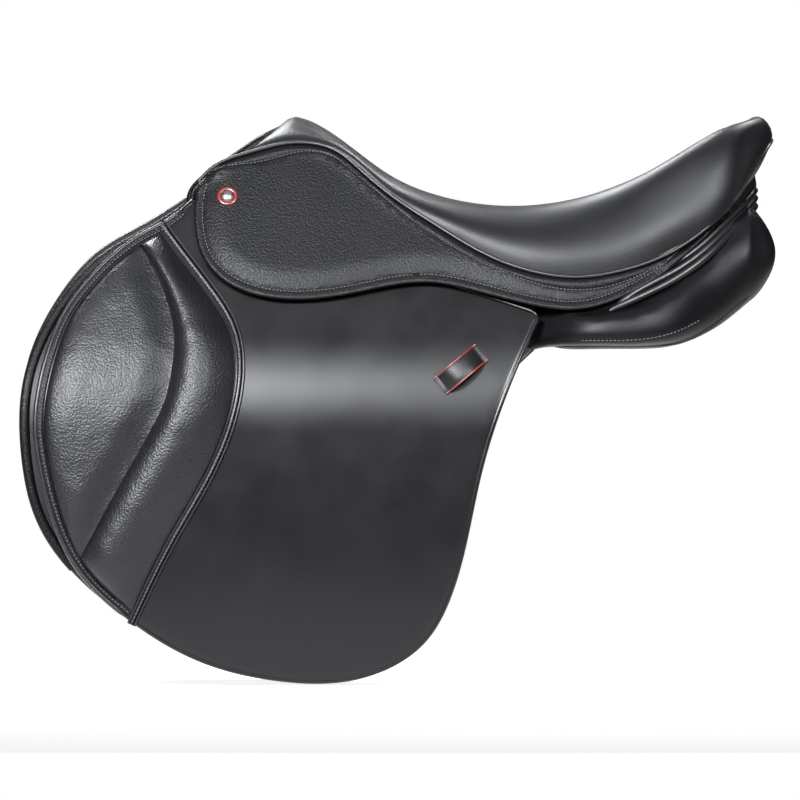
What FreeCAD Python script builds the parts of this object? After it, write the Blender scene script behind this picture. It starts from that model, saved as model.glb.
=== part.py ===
# English jumping saddle, millimetres.
#
# +X points to the pommel, +Y to the horse's left, +Z up.  The origin lies on
# the centre plane, at the level where the panels bear on a saddle rack.
#
# Both sides are mirror images.  On each side the leathers are plies that lie
# over one another.  A ply is counted by its height above the inner face of
# the flap, positive outwards.  Every ply follows the same section: a straight
# slope, then a bend, then a vertical drop.
import FreeCAD, Part
import math
import os

Vector = FreeCAD.Vector

DIMENSIONS = (
    ("side_slope", 28.0, "degrees between the upper side and the vertical"),
    ("side_reach", 125.5, "Y of the flap's inner face where the bend starts"),
    ("bend_radius", 160.0, "radius of the bend on the flap's inner face"),
    ("rear_end", -290.0, "X where the long blanks start"),
    ("blank_length", 650.0, "length of the blanks along X"),
    ("blank_width", 210.0, "width of the blanks along Y, one side"),
    ("blank_top", 205.0, "height of the blanks above the bend, up the slope"),
    ("blank_foot", 300.0, "depth of the blanks below the origin"),
    ("flap_ply", 4.0, "thickness of the flap"),
    ("skirt_inner", 12.5, "ply height of the skirt's inner face"),
    ("skirt_outer", 16.0, "ply height of the skirt's outer face"),
    ("welt_outer", 18.0, "ply height of the welt's crown"),
    ("pad_crown", 13.0, "ply height of the knee pad"),
    ("roll_crown", 20.0, "ply height of the knee roll"),
    ("sweat_inner", -16.0, "ply height of the sweat flap's inner face"),
    ("sweat_outer", -12.0, "ply height of the sweat flap's outer face"),
    ("billet_inner", -8.5, "ply height of a billet's inner face"),
    ("billet_outer", -4.5, "ply height of a billet's outer face"),
    ("rail_inner", -17.0, "ply height of the tree rail's inner face"),
    ("rail_outer", -10.0, "ply height of the tree rail's outer face"),
    ("panel_outer", -18.0, "ply height of the panel's outer face"),
    ("panel_inner", -42.0, "ply height of the front panel's inner face"),
    ("gusset_outer", 8.0, "ply height of the rear gusset"),
    ("cover_leather", 3.0, "thickness of the seat leather"),
    ("hinge_gap", 0.25, "half of the gap along the fold line"),
    ("channel_half", 34.0, "half of the width of the channel between the panels"),
    ("bar_radius", 4.5, "radius of the stirrup bar"),
    ("bar_length", 52.0, "length of the stirrup bar from its arm to its fork"),
    ("bar_height", 6.0, "ply height of the stirrup bar's centre"),
    ("bar_drop", 14.0, "how far the bar lies below the fold line"),
    ("catch_length", 20.0, "length of the thumb catch behind its pin"),
    ("catch_width", 8.0, "width of the thumb catch"),
    ("catch_ply", 3.0, "thickness of the thumb catch"),
    ("catch_pin_radius", 1.25, "radius of the thumb catch's pin"),
    ("billet_width", 25.0, "width of a girth billet"),
    ("billet_middle", 70.0, "X of the middle billet"),
    ("billet_pitch", 35.0, "distance between the billets"),
    ("billet_foot", 255.0, "depth of a billet's tip below the origin"),
    ("billet_rise", 44.0, "length of a billet above its bend"),
    ("billet_tip_radius", 12.0, "corner radius of a billet's tip"),
    ("billet_hole_radius", 2.5, "radius of a billet's holes"),
    ("billet_hole_pitch", 25.0, "distance between a billet's holes"),
    ("billet_hole_count", 6.0, "number of holes in a billet"),
    ("billet_hole_top", 112.0, "depth of a billet's first hole"),
    ("web_inner", -3.0, "ply height of the girth web's inner face"),
    ("web_outer", -1.5, "ply height of the girth web's outer face"),
    ("nail_shank_radius", 1.5, "radius of the saddle nail's shank"),
    ("nail_radius", 5.2, "radius of the saddle nail's dome"),
    ("ring_radius", 8.4, "outer radius of the nail's coloured ring"),
    ("keeper_length", 44.0, "length of the strap keeper"),
    ("keeper_width", 16.0, "width of the strap keeper"),
    ("keeper_crown", 14.0, "ply height of the keeper"),
)

doc = FreeCAD.newDocument("english_saddle")
sheet = doc.addObject("Spreadsheet::Sheet", "Dimensions")
for row, (alias, value, meaning) in enumerate(DIMENSIONS, start=1):
    sheet.set(f"A{row}", meaning)
    sheet.set(f"B{row}", str(value))
    sheet.setAlias(f"B{row}", alias)
doc.recompute()
size = {alias: float(sheet.get(alias)) for alias, _, _ in DIMENSIONS}

SLOPE = math.radians(size["side_slope"])
BEND_Y = size["side_reach"] - size["bend_radius"] * math.cos(SLOPE)
BEND_Z = -size["bend_radius"] * math.sin(SLOPE)

# The fold line of flap and skirt, seen from the side as (x, z).
FOLD_FRONT = (205.0, 117.0)
FOLD_REAR = (-83.0, 19.4)
FOLD_RISE = (FOLD_FRONT[1] - FOLD_REAR[1]) / (FOLD_FRONT[0] - FOLD_REAR[0])

XZ_PLANE = FreeCAD.Rotation(Vector(1, 0, 0), Vector(0, 0, 1), Vector(0, -1, 0), "ZXY")
YZ_PLANE = FreeCAD.Rotation(Vector(0, 1, 0), Vector(0, 0, 1), Vector(1, 0, 0), "ZXY")
XY_PLANE = FreeCAD.Rotation()

parts = []


# ---------------------------------------------------------------- geometry

def fold_height(x):
    """Height of the fold line above a given x."""
    return FOLD_REAR[1] + FOLD_RISE * (x - FOLD_REAR[0])


def slope_y(z, height):
    """Y of a ply of the given height on the straight slope."""
    return size["side_reach"] - z * math.tan(SLOPE) + height / math.cos(SLOPE)


def flat(point):
    return Vector(point[0], point[1], 0)


def straight(*points):
    """Line segments from point to point."""
    return [Part.LineSegment(flat(a), flat(b)) for a, b in zip(points, points[1:])]


def smooth(*points):
    """One curve through the points."""
    curve = Part.BSplineCurve()
    curve.interpolate([flat(p) for p in points])
    return [curve]


def closed_curve(*points):
    curve = Part.BSplineCurve()
    curve.interpolate([flat(p) for p in points], PeriodicFlag=True)
    return [curve]


def arc(first, middle, last):
    return [Part.Arc(flat(first), flat(middle), flat(last))]


def shifted(points, distance):
    """The points moved sideways by a distance, to the left of their path."""
    moved = []
    for i, point in enumerate(points):
        before = points[max(i - 1, 0)]
        after = points[min(i + 1, len(points) - 1)]
        run = math.hypot(after[0] - before[0], after[1] - before[1])
        moved.append((point[0] - distance * (after[1] - before[1]) / run,
                      point[1] + distance * (after[0] - before[0]) / run))
    return moved


def lifted(points, rise):
    return [(x, z + rise) for x, z in points]


def interpolated(points, x):
    """Height at x on a chain of points that runs towards smaller x."""
    for (x1, z1), (x0, z0) in zip(points, points[1:]):
        if x0 <= x <= x1:
            return z0 + (z1 - z0) * (x - x0) / (x1 - x0)
    return points[0][1] if x > points[0][0] else points[-1][1]


# ------------------------------------------------------- document objects

def sketch(name, rotation, curves, origin=Vector()):
    drawing = doc.addObject("Sketcher::SketchObject", name)
    drawing.Placement = FreeCAD.Placement(origin, rotation)
    for curve in curves:
        drawing.addGeometry(curve, False)
    return drawing


def extrusion(name, drawing, direction, cell, both_ways=False):
    solid = doc.addObject("Part::Extrusion", name)
    solid.Base = drawing
    solid.DirMode = "Custom"
    solid.Dir = direction
    solid.Solid = True
    solid.Symmetric = both_ways
    factor = "2 * " if both_ways else ""
    solid.setExpression("LengthFwd", f"{factor}Dimensions.{cell}")
    return solid


def side_prism(name, curves, both_sides=False):
    """What lies within an outline seen from the side."""
    drawing = sketch(name + "_outline", XZ_PLANE, curves)
    return extrusion(name, drawing, Vector(0, 1, 0), "blank_width", both_sides)


def section_prism(name, curves):
    """A section seen from the front, drawn out along the saddle."""
    start = Vector(size["rear_end"], 0, 0)
    drawing = sketch(name + "_section", YZ_PLANE, curves, start)
    return extrusion(name, drawing, Vector(1, 0, 0), "blank_length")


def ply_curve(height, depth, rise):
    """A ply face in section, from its foot at a depth to its top up the slope."""
    radius = size["bend_radius"] + height
    foot = (BEND_Y + radius, -depth)
    low = (BEND_Y + radius, BEND_Z)
    half = (BEND_Y + radius * math.cos(SLOPE / 2), BEND_Z + radius * math.sin(SLOPE / 2))
    high = (BEND_Y + radius * math.cos(SLOPE), BEND_Z + radius * math.sin(SLOPE))
    top = (high[0] - rise * math.sin(SLOPE), high[1] + rise * math.cos(SLOPE))
    return foot, top, straight(foot, low) + arc(low, half, high) + straight(high, top)


def ply_section(inner, outer, depth, rise):
    """The closed section between two ply heights."""
    inner_foot, inner_top, inner_face = ply_curve(inner, depth, rise)
    outer_foot, outer_top, outer_face = ply_curve(outer, depth, rise)
    ends = straight(inner_foot, outer_foot) + straight(inner_top, outer_top)
    return inner_face + outer_face + ends


def ply(name, inner, outer):
    """A blank of leather or padding between two ply heights."""
    return section_prism(name, ply_section(inner, outer, size["blank_foot"],
                                           size["blank_top"]))


def tent(name, height, low, high):
    """What lies between the two slopes, up to a ply height, from low to high."""
    corners = [(slope_y(low, height), low), (slope_y(high, height), high)]
    ring = corners + [(-y, z) for y, z in reversed(corners)]
    return section_prism(name, straight(*ring, ring[0]))


def boolean(kind, name, base, tool):
    result = doc.addObject("Part::" + kind, name)
    result.Base = base
    result.Tool = tool
    return result


def common(name, base, tool):
    return boolean("Common", name, base, tool)


def cut(name, base, tool):
    return boolean("Cut", name, base, tool)


def fuse(name, base, tool):
    return boolean("Fuse", name, base, tool)


def keep(solid, label):
    solid.Label = label
    parts.append(solid)
    return solid


def mirrored(solid, label):
    image = doc.addObject("Part::Mirroring", label + "_image")
    image.Source = solid
    image.Normal = Vector(0, 1, 0)
    image.Base = Vector(0, 0, 0)
    return keep(image, label)


def keep_pair(solid, name):
    """The left piece as built and the right piece as its mirror image."""
    keep(solid, name + "_left")
    mirrored(solid, name + "_right")


def primitive(kind, name, placement, **cells):
    """A Part primitive whose sizes come from cells, or from plain numbers."""
    solid = doc.addObject("Part::" + kind, name)
    for size_name, source in cells.items():
        if isinstance(source, str):
            solid.setExpression(size_name, source)
        else:
            setattr(solid, size_name, source)
    solid.Placement = placement
    return solid


# The frame of the fold line: rearward along it, up the slope, and outwards.
BACKWARD = Vector(FOLD_REAR[0] - FOLD_FRONT[0],
                  slope_y(FOLD_REAR[1], 0) - slope_y(FOLD_FRONT[1], 0),
                  FOLD_REAR[1] - FOLD_FRONT[1]).normalize()
OUTWARD = Vector(0, math.cos(SLOPE), math.sin(SLOPE))
UPWARD = OUTWARD.cross(BACKWARD)
SLOPE_FRAME = FreeCAD.Rotation(BACKWARD, UPWARD, OUTWARD, "ZXY")


def on_slope(x, z, surface, lift=0.0):
    """A placement above (x, z) of a ply face, with its own Z pointing outwards."""
    foot = Vector(x, slope_y(z, surface), z)
    return FreeCAD.Placement(foot + OUTWARD * lift, SLOPE_FRAME)


# ------------------------------------------------------------------ outlines

WELT_LINE = ((199, 131), (187, 143), (158, 155), (125, 163), (107, 163), (88, 158),
             (67, 142), (41, 120), (5, 96), (-39, 70), (-83, 55), (-113, 52),
             (-148, 57), (-193, 74), (-239, 109))
SEAT_TOP = ((175, 163), (148, 172), (115, 182), (82, 166), (49, 141), (16, 123),
            (-33, 113), (-66, 111), (-98, 115), (-148, 129), (-197, 153),
            (-241, 179), (-262, 184), (-274, 172))
SKIRT_EDGE = ((199, 131), (202, 115), (202, 94), (196, 70), (182, 52), (158, 39),
              (119, 33), (72, 38), (9, 47), (-33, 39), (-83, 27), (-116, 25),
              (-148, 34), (-193, 61), (-239, 107))
FLAP_EDGE = (FOLD_FRONT, (226, 100), (262, 87), (292, 60), (317, 18), (330, -28),
             (333, -65), (329, -104), (317, -150), (301, -184), (255, -230),
             (197, -264), (131, -280), (66, -278), (12, -248), (-10, -209),
             (-34, -111), (-63, -25), FOLD_REAR)
SWEAT_EDGE = ((205, 122), (242, 98), (279, 76), (312, 39), (337, -12), (344, -62),
              (342, -98), (330, -148), (302, -190), (260, -225), (197, -254),
              (98, -272), (33, -254), (0, -197), (-25, -107), (-57, -29), (-78, -8))
SWEAT_TOP = ((-78, -8), (60, 20), (150, 42), (188, 60), (205, 122))
PAD_EDGE = ((247, 80), (234, 56), (226.5, 20), (227.5, -30), (243, -82), (266, -118),
            (293, -168), (313, -129), (324, -80), (324, -30), (314, 16), (291, 49),
            (265, 73))
ROLL_EDGE = ((236, 83), (225.5, 54), (219.5, 18), (220.5, -32), (235, -84), (256, -124),
             (281, -180), (268, -194), (246, -191), (229, -162), (202, -93),
             (180, -33), (180, 0), (204, 52), (224, 76))
PAD_SEAM = ((230, 95), (212, 71), (186, 37), (170, 10), (164, -20), (169, -60),
            (190, -113), (218, -162), (247, -222))
NAIL = (175, 118.5)
PANEL_REAR = ((-262, 111), (-270, 98), (-277, 74), (-265, 37), (-229, 11), (-185, -1),
              (-148, -4), (-112, -2))


# ------------------------------------------------------------- shared blanks

def build_blanks():
    blanks = {
        "flap": ply("flap_blank", 0, size["flap_ply"]),
        "skirt": ply("skirt_blank", size["skirt_inner"], size["skirt_outer"]),
        "rail": ply("rail_blank", size["rail_inner"], size["rail_outer"]),
    }
    rear_x, front_x, reach = FOLD_REAR[0] - 250, FOLD_FRONT[0] + 180, 520
    rear = (rear_x, fold_height(rear_x))
    front = (front_x, fold_height(front_x))
    gap = size["hinge_gap"]
    for name, side in (("above_fold", 1), ("below_fold", -1)):
        edge = lifted((rear, front), side * gap)
        far = lifted((front, rear), side * reach)
        blanks[name] = side_prism(name, straight(*edge, *far, edge[0]))
    return blanks


def oval_plan():
    """The rounded plan of the rear end, seen from above."""
    centre, reach, half = -130, 152, 140
    ellipse = Part.Ellipse(Vector(centre - reach, 0, 0), Vector(centre, half, 0),
                           Vector(centre, 0, 0))
    side = size["blank_width"]
    bend = Part.ArcOfEllipse(ellipse, -math.pi / 2, math.pi / 2)
    ends = (bend.StartPoint, bend.EndPoint)
    top, bottom = sorted(ends, key=lambda p: -p.y)
    frame = straight((top.x, top.y), (top.x + 20, side), (360, side), (360, -side),
                     (bottom.x + 20, -side), (bottom.x, bottom.y))
    drawing = sketch("rear_plan_outline", XY_PLANE, [bend] + frame, Vector(0, 0, -100))
    return extrusion("rear_plan", drawing, Vector(0, 0, 1), "blank_foot")


# ---------------------------------------------------------------------- seat

def seat_loft(name, side_inset, top_inset, bottom):
    """The seat's form, made smaller at its sides and top, its floor moved by bottom."""
    rear_stations = {-274: (24, 154), -262: (56, 136)}
    stations = [-274, -262] + [x for x, _ in reversed(WELT_LINE) if x < 180] + [176]
    wires = []
    for x in stations:
        if x in rear_stations:
            half, floor = rear_stations[x]
        else:
            floor = interpolated(WELT_LINE, x)
            half = slope_y(floor, size["skirt_outer"])
        crown = interpolated(SEAT_TOP, x) - top_inset
        half -= side_inset
        floor += bottom
        left, right = Vector(x, half, floor), Vector(x, -half, floor)
        edges = [Part.Arc(left, Vector(x, 0, crown), right).toShape(),
                 Part.LineSegment(right, left).toShape()]
        wires.append(Part.Wire(edges))
    solid = doc.addObject("Part::Feature", name)
    solid.Shape = Part.makeLoft(wires, True, True)
    return solid


def build_seat():
    front = side_prism("behind_pommel_face",
                       straight((125.5, 205), (125.5, 175), (156, 153), (179, 137),
                                (193, 124), (193, 20), (-290, 20), (-290, 205),
                                (125.5, 205)), True)
    leather = size["cover_leather"]
    outer = seat_loft("seat_outer_form", 0, 0, 3.2)
    hollow = seat_loft("seat_hollow_form", leather, leather, -1)
    shell = cut("seat_shell", outer, hollow)
    keep(common("seat_cover_body", shell, front), "seat_cover")
    foam = seat_loft("seat_foam_form", 10, leather + 1, 3)
    foam = common("seat_foam_inside", foam, hollow)
    keep(common("seat_foam_body", foam, front), "seat_foam")

    welt_blank = ply("welt_blank", size["skirt_inner"] + 0.2, size["welt_outer"])
    upper = lifted(WELT_LINE, 1.6)
    lower = lifted(reversed(WELT_LINE), -1.6)
    band = smooth(*upper) + straight(upper[-1], lower[0])
    band += smooth(*lower) + straight(lower[-1], upper[0])
    keep_pair(common("seat_welt", welt_blank, side_prism("welt_band", band)), "seat_welt")


# ---------------------------------------------------------------------- tree

def welt_band(name, top, bottom, front, rear):
    """A band below the welt line, across the whole width."""
    line = [point for point in WELT_LINE if rear < point[0] < front]
    line = [(front, interpolated(WELT_LINE, front))] + line
    line += [(rear, interpolated(WELT_LINE, rear))]
    upper = lifted(line, -top)
    lower = lifted(reversed(line), -bottom)
    return side_prism(name, straight(*upper, *lower, upper[0]), True)


def build_tree(blanks):
    inside = tent("within_rails", size["rail_outer"], 20, 172)
    deck_band = welt_band("deck_band", 3, 9, 150, -236)
    deck = common("tree_deck", inside, deck_band)
    rail_top = [point for point in lifted(WELT_LINE, -3.2) if point[0] < 155]
    rail_foot = ((-236, 70), (-200, 40), (-148, 18), (-90, 14), (-40, 30), (30, 52),
                 (120, 68), (160, 56), (176, 58))
    outline = straight((180, 112), (172, 130), *rail_top)
    outline += straight(rail_top[-1], rail_foot[0]) + smooth(*rail_foot)
    outline += straight(rail_foot[-1], (180, 112))
    rail = common("tree_rail", blanks["rail"], side_prism("rail_outline", outline))
    other = doc.addObject("Part::Mirroring", "tree_rail_right")
    other.Source = rail
    other.Normal = Vector(0, 1, 0)
    whole = fuse("tree_rails", rail, other)
    whole = fuse("tree_whole", whole, deck)
    window = primitive("Box", "tree_window", FreeCAD.Placement(Vector(-185, -34, 20),
                       FreeCAD.Rotation()), Length=235, Width=68, Height=140)
    return cut("tree_open", whole, window)


def bar_plate_corner():
    """Where the lower front corner of a stirrup bar's plate lies on the tree."""
    return on_slope(176, 80, size["rail_outer"])


def build_tree_fittings(tree):
    """Head plate, seat webbing, and the rivets that hold the stirrup bars."""
    over_deck = tent("over_deck", size["rail_outer"], 60, 172)
    keep(common("head_plate_body", over_deck, welt_band("head_band", 0.6, 2.6, 150, 96)),
         "head_plate")
    web_span = tent("web_span", size["rail_outer"] - 8, 20, 172)
    keep(common("webbing_body", web_span, welt_band("web_band", 0.8, 2.8, 70, -200)),
         "seat_webbing")
    shafts = []
    for number, up in enumerate((8.0, 26.0), start=1):
        place = bar_plate_corner().multiply(FreeCAD.Placement(Vector(8, up, -7),
                                                              FreeCAD.Rotation()))
        shaft = primitive("Cylinder", f"rivet_shaft_{number}", place,
                          Radius=2.0, Height=11.0)
        place = place.multiply(FreeCAD.Placement(Vector(0, 0, 10), FreeCAD.Rotation()))
        head = primitive("Cylinder", f"rivet_head_{number}", place, Radius=4.0, Height=1.6)
        shafts.append((shaft, fuse(f"rivet_{number}", shaft, head)))
    holes = fuse("rivet_holes", shafts[0][0], shafts[1][0])
    holes_right = doc.addObject("Part::Mirroring", "rivet_holes_right")
    holes_right.Source = holes
    holes_right.Normal = Vector(0, 1, 0)
    keep(cut("tree_body", cut("tree_left_done", tree, holes), holes_right), "tree")
    rivets = doc.addObject("Part::Compound", "rivets_one_side")
    rivets.Links = [shafts[0][1], shafts[1][1]]
    image = doc.addObject("Part::Mirroring", "rivets_other_side")
    image.Source = rivets
    image.Normal = Vector(0, 1, 0)
    group = doc.addObject("Part::Compound", "rivet_group")
    group.Links = [rivets, image]
    keep(group, "bar_rivets")
    return holes


def build_stirrup_bar(rivet_holes):
    """A bar that is open behind, its thumb catch, and the catch's pin."""
    front_x = 150.0
    centre_z = fold_height(front_x) - size["bar_drop"]
    start = on_slope(front_x, centre_z, size["bar_height"])
    rod = primitive("Cylinder", "bar_rod", start.multiply(FreeCAD.Placement(
        Vector(), FreeCAD.Rotation(Vector(0, 1, 0), 90))),
        Radius="Dimensions.bar_radius", Height="Dimensions.bar_length")
    arm = primitive("Box", "bar_arm", start.multiply(FreeCAD.Placement(
        Vector(-9, -4.5, size["rail_outer"] - size["bar_height"]), FreeCAD.Rotation())),
        Length=13.0, Width=9.0, Height="Dimensions.bar_height - Dimensions.rail_outer + 4.5")
    plate = primitive("Box", "bar_plate", bar_plate_corner(),
                      Length=33.0, Width=34.0, Height=3.0)
    fork_length = 10.0
    fork = primitive("Cylinder", "bar_fork", start.multiply(FreeCAD.Placement(
        Vector(size["bar_length"], 0, 0), FreeCAD.Rotation(Vector(0, 1, 0), 90))),
        Radius="Dimensions.bar_radius - 0.2", Height=fork_length)
    bar = fuse("bar_with_plate", fuse("bar_with_arm", rod, arm), plate)
    bar = cut("bar_drilled", fuse("bar_with_fork", bar, fork), rivet_holes)

    pin_at = size["bar_length"] + fork_length / 2
    ply_half = size["catch_ply"] / 2
    slot = primitive("Box", "catch_slot", start.multiply(FreeCAD.Placement(
        Vector(pin_at - 5.0, -10, -ply_half - 0.1), FreeCAD.Rotation())),
        Length=30.0, Width=20.0, Height="Dimensions.catch_ply + 0.2")
    pin_place = start.multiply(FreeCAD.Placement(Vector(pin_at, 0, -4), FreeCAD.Rotation()))
    pin = primitive("Cylinder", "catch_pin", pin_place,
                    Radius="Dimensions.catch_pin_radius", Height=8.0)
    bar = cut("bar_forked", bar, slot)
    keep_pair(cut("stirrup_bar", bar, pin), "stirrup_bar")
    keep_pair(pin, "catch_pin")

    blade = primitive("Box", "catch_blade", start.multiply(FreeCAD.Placement(
        Vector(pin_at, -size["catch_width"] / 2, -ply_half), FreeCAD.Rotation())),
        Length="Dimensions.catch_length", Width="Dimensions.catch_width",
        Height="Dimensions.catch_ply")
    nose_place = start.multiply(FreeCAD.Placement(Vector(pin_at, 0, -ply_half),
                                                  FreeCAD.Rotation()))
    nose = primitive("Cylinder", "catch_nose", nose_place,
                     Radius="Dimensions.catch_width / 2", Height="Dimensions.catch_ply")
    eye = primitive("Cylinder", "catch_eye", pin_place,
                    Radius="Dimensions.catch_pin_radius + 0.06", Height=8.0)
    keep_pair(cut("thumb_catch", fuse("catch_whole", blade, nose), eye), "thumb_catch")


# ---------------------------------------------------------------- the sides

def build_skirt_and_flap(blanks):
    top = lifted(reversed(WELT_LINE), -2.0)
    outline = smooth(*SKIRT_EDGE[:-1], (-239, 105.5)) + straight((-239, 105.5), top[0])
    outline += smooth(*top) + straight(top[-1], SKIRT_EDGE[0])
    whole = common("skirt_whole", blanks["skirt"], side_prism("skirt_shape", outline))
    outer = size["skirt_outer"]
    nail_hole = primitive("Cylinder", "nail_hole", on_slope(*NAIL, outer, -20.0),
                          Radius="Dimensions.nail_shank_radius + 0.1", Height=24.0)
    upper = common("skirt_upper", whole, blanks["above_fold"])
    keep_pair(cut("skirt_upper_drilled", upper, nail_hole), "skirt_upper")
    keep_pair(common("skirt_lower", whole, blanks["below_fold"]), "skirt")

    gap = size["hinge_gap"]
    edge = lifted((FOLD_REAR, FOLD_FRONT), -gap)
    notch_depths = ((40.0, gap), (40.0, 14.0), (74.0, 30.0), (172.0, 30.0), (172.0, gap))
    notch = [(x, fold_height(x) - depth) for x, depth in notch_depths]
    outline = smooth(edge[1], *FLAP_EDGE[1:-1], edge[0])
    outline += straight(edge[0], *notch, edge[1])
    keep_pair(common("flap", blanks["flap"], side_prism("flap_shape", outline)), "flap")

    strip = straight((198, fold_height(198) + 0.25), (192, 130), (150, 126), (60, 92),
                     (-60, 50), (-80, fold_height(-80) + 0.25),
                     (198, fold_height(198) + 0.25))
    strip_body = common("flap_top", blanks["flap"], side_prism("flap_top_shape", strip))
    keep_pair(cut("flap_top_drilled", strip_body, nail_hole), "flap_top")


def build_saddle_nail():
    """A domed nail and the coloured ring under its head."""
    outer = size["skirt_outer"]
    shank = primitive("Cylinder", "nail_shank", on_slope(*NAIL, outer, -18.0),
                      Radius="Dimensions.nail_shank_radius", Height=18.5)
    dome = primitive("Sphere", "nail_ball", on_slope(*NAIL, outer, -2.0),
                     Radius="Dimensions.nail_radius")
    above = primitive("Cylinder", "nail_clip", on_slope(*NAIL, outer, 0.1),
                      Radius="Dimensions.nail_radius", Height=8.0)
    head = common("nail_head", dome, above)
    keep_pair(fuse("saddle_nail", head, shank), "saddle_nail")
    disc = primitive("Cone", "ring_disc", on_slope(*NAIL, outer),
                     Radius1="Dimensions.ring_radius",
                     Radius2="Dimensions.ring_radius - 1.2", Height=1.8)
    bore = primitive("Cylinder", "ring_bore", on_slope(*NAIL, outer, -1.0),
                     Radius="Dimensions.nail_radius + 0.1", Height=6.0)
    keep_pair(cut("nail_ring", disc, bore), "nail_ring")


def build_knee_block():
    """The two cushions on the flap and the raised seam behind them."""
    face = size["flap_ply"]
    pad_blank = ply("pad_blank", face, size["pad_crown"])
    roll_blank = ply("roll_blank", face, size["roll_crown"])
    welt_blank = ply("pad_welt_blank", face, face + 3)
    pad = side_prism("pad_shape", closed_curve(*PAD_EDGE))
    roll = side_prism("roll_shape", closed_curve(*ROLL_EDGE))
    keep_pair(common("knee_pad", pad_blank, pad), "knee_pad")
    keep_pair(common("knee_roll", roll_blank, roll), "knee_roll")
    left, right = shifted(PAD_SEAM, 3.2), shifted(PAD_SEAM, -3.2)
    right.reverse()
    band = smooth(*left) + straight(left[-1], right[0])
    band += smooth(*right) + straight(right[-1], left[0])
    keep_pair(common("pad_welt", welt_blank, side_prism("pad_seam", band)), "pad_welt")


def tilted_box(name, centre, length, width, turn):
    """A rectangle seen from the side, its length turned by an angle."""
    along = Vector(math.cos(turn), math.sin(turn)) * (length / 2)
    across = Vector(-math.sin(turn), math.cos(turn)) * (width / 2)
    middle = Vector(centre[0], centre[1])
    corners = [middle + along + across, middle - along + across,
               middle - along - across, middle + along - across]
    ring = [(corner.x, corner.y) for corner in corners]
    return side_prism(name, straight(*ring, ring[0]))


def build_keeper():
    """A strap loop on the flap, open at its two long sides."""
    centre, turn = (-17.0, -24.0), math.radians(140.5)
    face, crown = size["flap_ply"], size["keeper_crown"]
    strap_blank = ply("keeper_blank", face, crown)
    tunnel_blank = ply("keeper_tunnel_blank", face - 1, crown - 2)
    strap = common("keeper_strap", strap_blank,
                   tilted_box("keeper_shape", centre, size["keeper_length"],
                              size["keeper_width"], turn))
    tunnel = common("keeper_tunnel", tunnel_blank,
                    tilted_box("tunnel_shape", centre, size["keeper_length"] - 6,
                               size["keeper_width"] + 10, turn))
    keep_pair(cut("strap_keeper", strap, tunnel), "strap_keeper")


def build_sweat_flap():
    blank = ply("sweat_blank", size["sweat_inner"], size["sweat_outer"])
    outline = smooth(*SWEAT_EDGE) + straight(*SWEAT_TOP)
    keep_pair(common("sweat_flap", blank, side_prism("sweat_shape", outline)), "sweat_flap")


def build_panels(rear_plan):
    channel, outer = size["channel_half"], size["panel_outer"]
    foot = (98.0, -2.0)
    wedge = straight((channel, 24.0), foot, (slope_y(foot[1], outer), foot[1]),
                     (channel, (size["side_reach"] + outer / math.cos(SLOPE) - channel)
                      / math.tan(SLOPE)), (channel, 24.0))
    wedge = section_prism("panel_wedge", wedge)
    roof = lifted(((-246, 110), (-193, 74), (-148, 57), (-113, 52), (-39, 70), (0, 92)), -16)
    outline = smooth(*PANEL_REAR)
    outline += straight(PANEL_REAR[-1], (-86, 12), (-60, 32), (0, 62), *reversed(roof),
                        PANEL_REAR[0])
    rear = common("panel_rear", wedge, side_prism("panel_rear_shape", outline))
    rear = common("panel_rear_round", rear, rear_plan)
    front_blank = ply("panel_front_blank", size["panel_inner"], outer)
    edge = ((190, 104), (192, 60), (185, 5), (160, -42), (100, -58), (20, -50), (-80, -8))
    top = ((-80, 30), (0, 74), (45, 100), (80, 122), (150, 122), (190, 104))
    shape = smooth(*edge) + straight(edge[-1], *top)
    front = common("panel_front", front_blank, side_prism("panel_front_shape", shape))
    keep_pair(fuse("panel", rear, front), "panel")

    gusset_blank = ply("gusset_blank", size["rail_outer"] + 0.5, size["gusset_outer"])
    roof = ((-92, 2), (-96, 16), (-116, 30), (-148, 38), (-193, 60), (-236, 88),
            (-262, 111))
    outline = smooth(*PANEL_REAR) + straight(PANEL_REAR[-1], *roof)
    gusset = common("gusset", gusset_blank, side_prism("gusset_shape", outline))
    keep_pair(common("rear_gusset", gusset, rear_plan), "rear_gusset")

    lining = tent("lining_tent", size["rail_inner"] - 0.5, 20, 172)
    middle = primitive("Box", "lining_width", FreeCAD.Placement(Vector(-250, -33.5, 0),
                       FreeCAD.Rotation()), Length=420, Width=67, Height=170)
    strip = common("lining_strip", lining, welt_band("lining_band", 11, 13, 150, -236))
    keep(common("gullet_lining_body", strip, middle), "gullet_lining")


def build_facings(rear_plan):
    """The leather faces of the pommel and of the cantle."""
    top = 181.0
    outer_low, outer_high = (slope_y(100, 12), 100.0), (slope_y(160, 12), 160.0)
    inner_low, inner_high = (slope_y(100, -4), 100.0), (slope_y(142, -4), 142.0)
    section = straight(outer_low, outer_high)
    section += arc(outer_high, (0, top), (-outer_high[0], outer_high[1]))
    section += straight((-outer_high[0], outer_high[1]), (-outer_low[0], outer_low[1]),
                        (-inner_low[0], inner_low[1]), (-inner_high[0], inner_high[1]))
    section += arc((-inner_high[0], inner_high[1]), (0, 158), inner_high)
    section += straight(inner_high, inner_low, outer_low)
    face = straight((127, 181.5), (166, 163), (189, 147), (210, 123), (203, 121),
                    (182, 140), (159, 156), (127, 177), (127, 181.5))
    keep(common("pommel_facing_body", section_prism("pommel_arch", section),
                side_prism("pommel_face", face, True)), "pommel_facing")
    band = straight((-247, 113), (-263, 130), (-265, 118), (-251, 102), (-247, 113))
    inside = tent("cantle_tent", size["gusset_outer"], 80, 140)
    strip = common("cantle_strip", inside, side_prism("cantle_face", band, True))
    keep(common("cantle_facing_body", strip, rear_plan), "cantle_facing")


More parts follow.
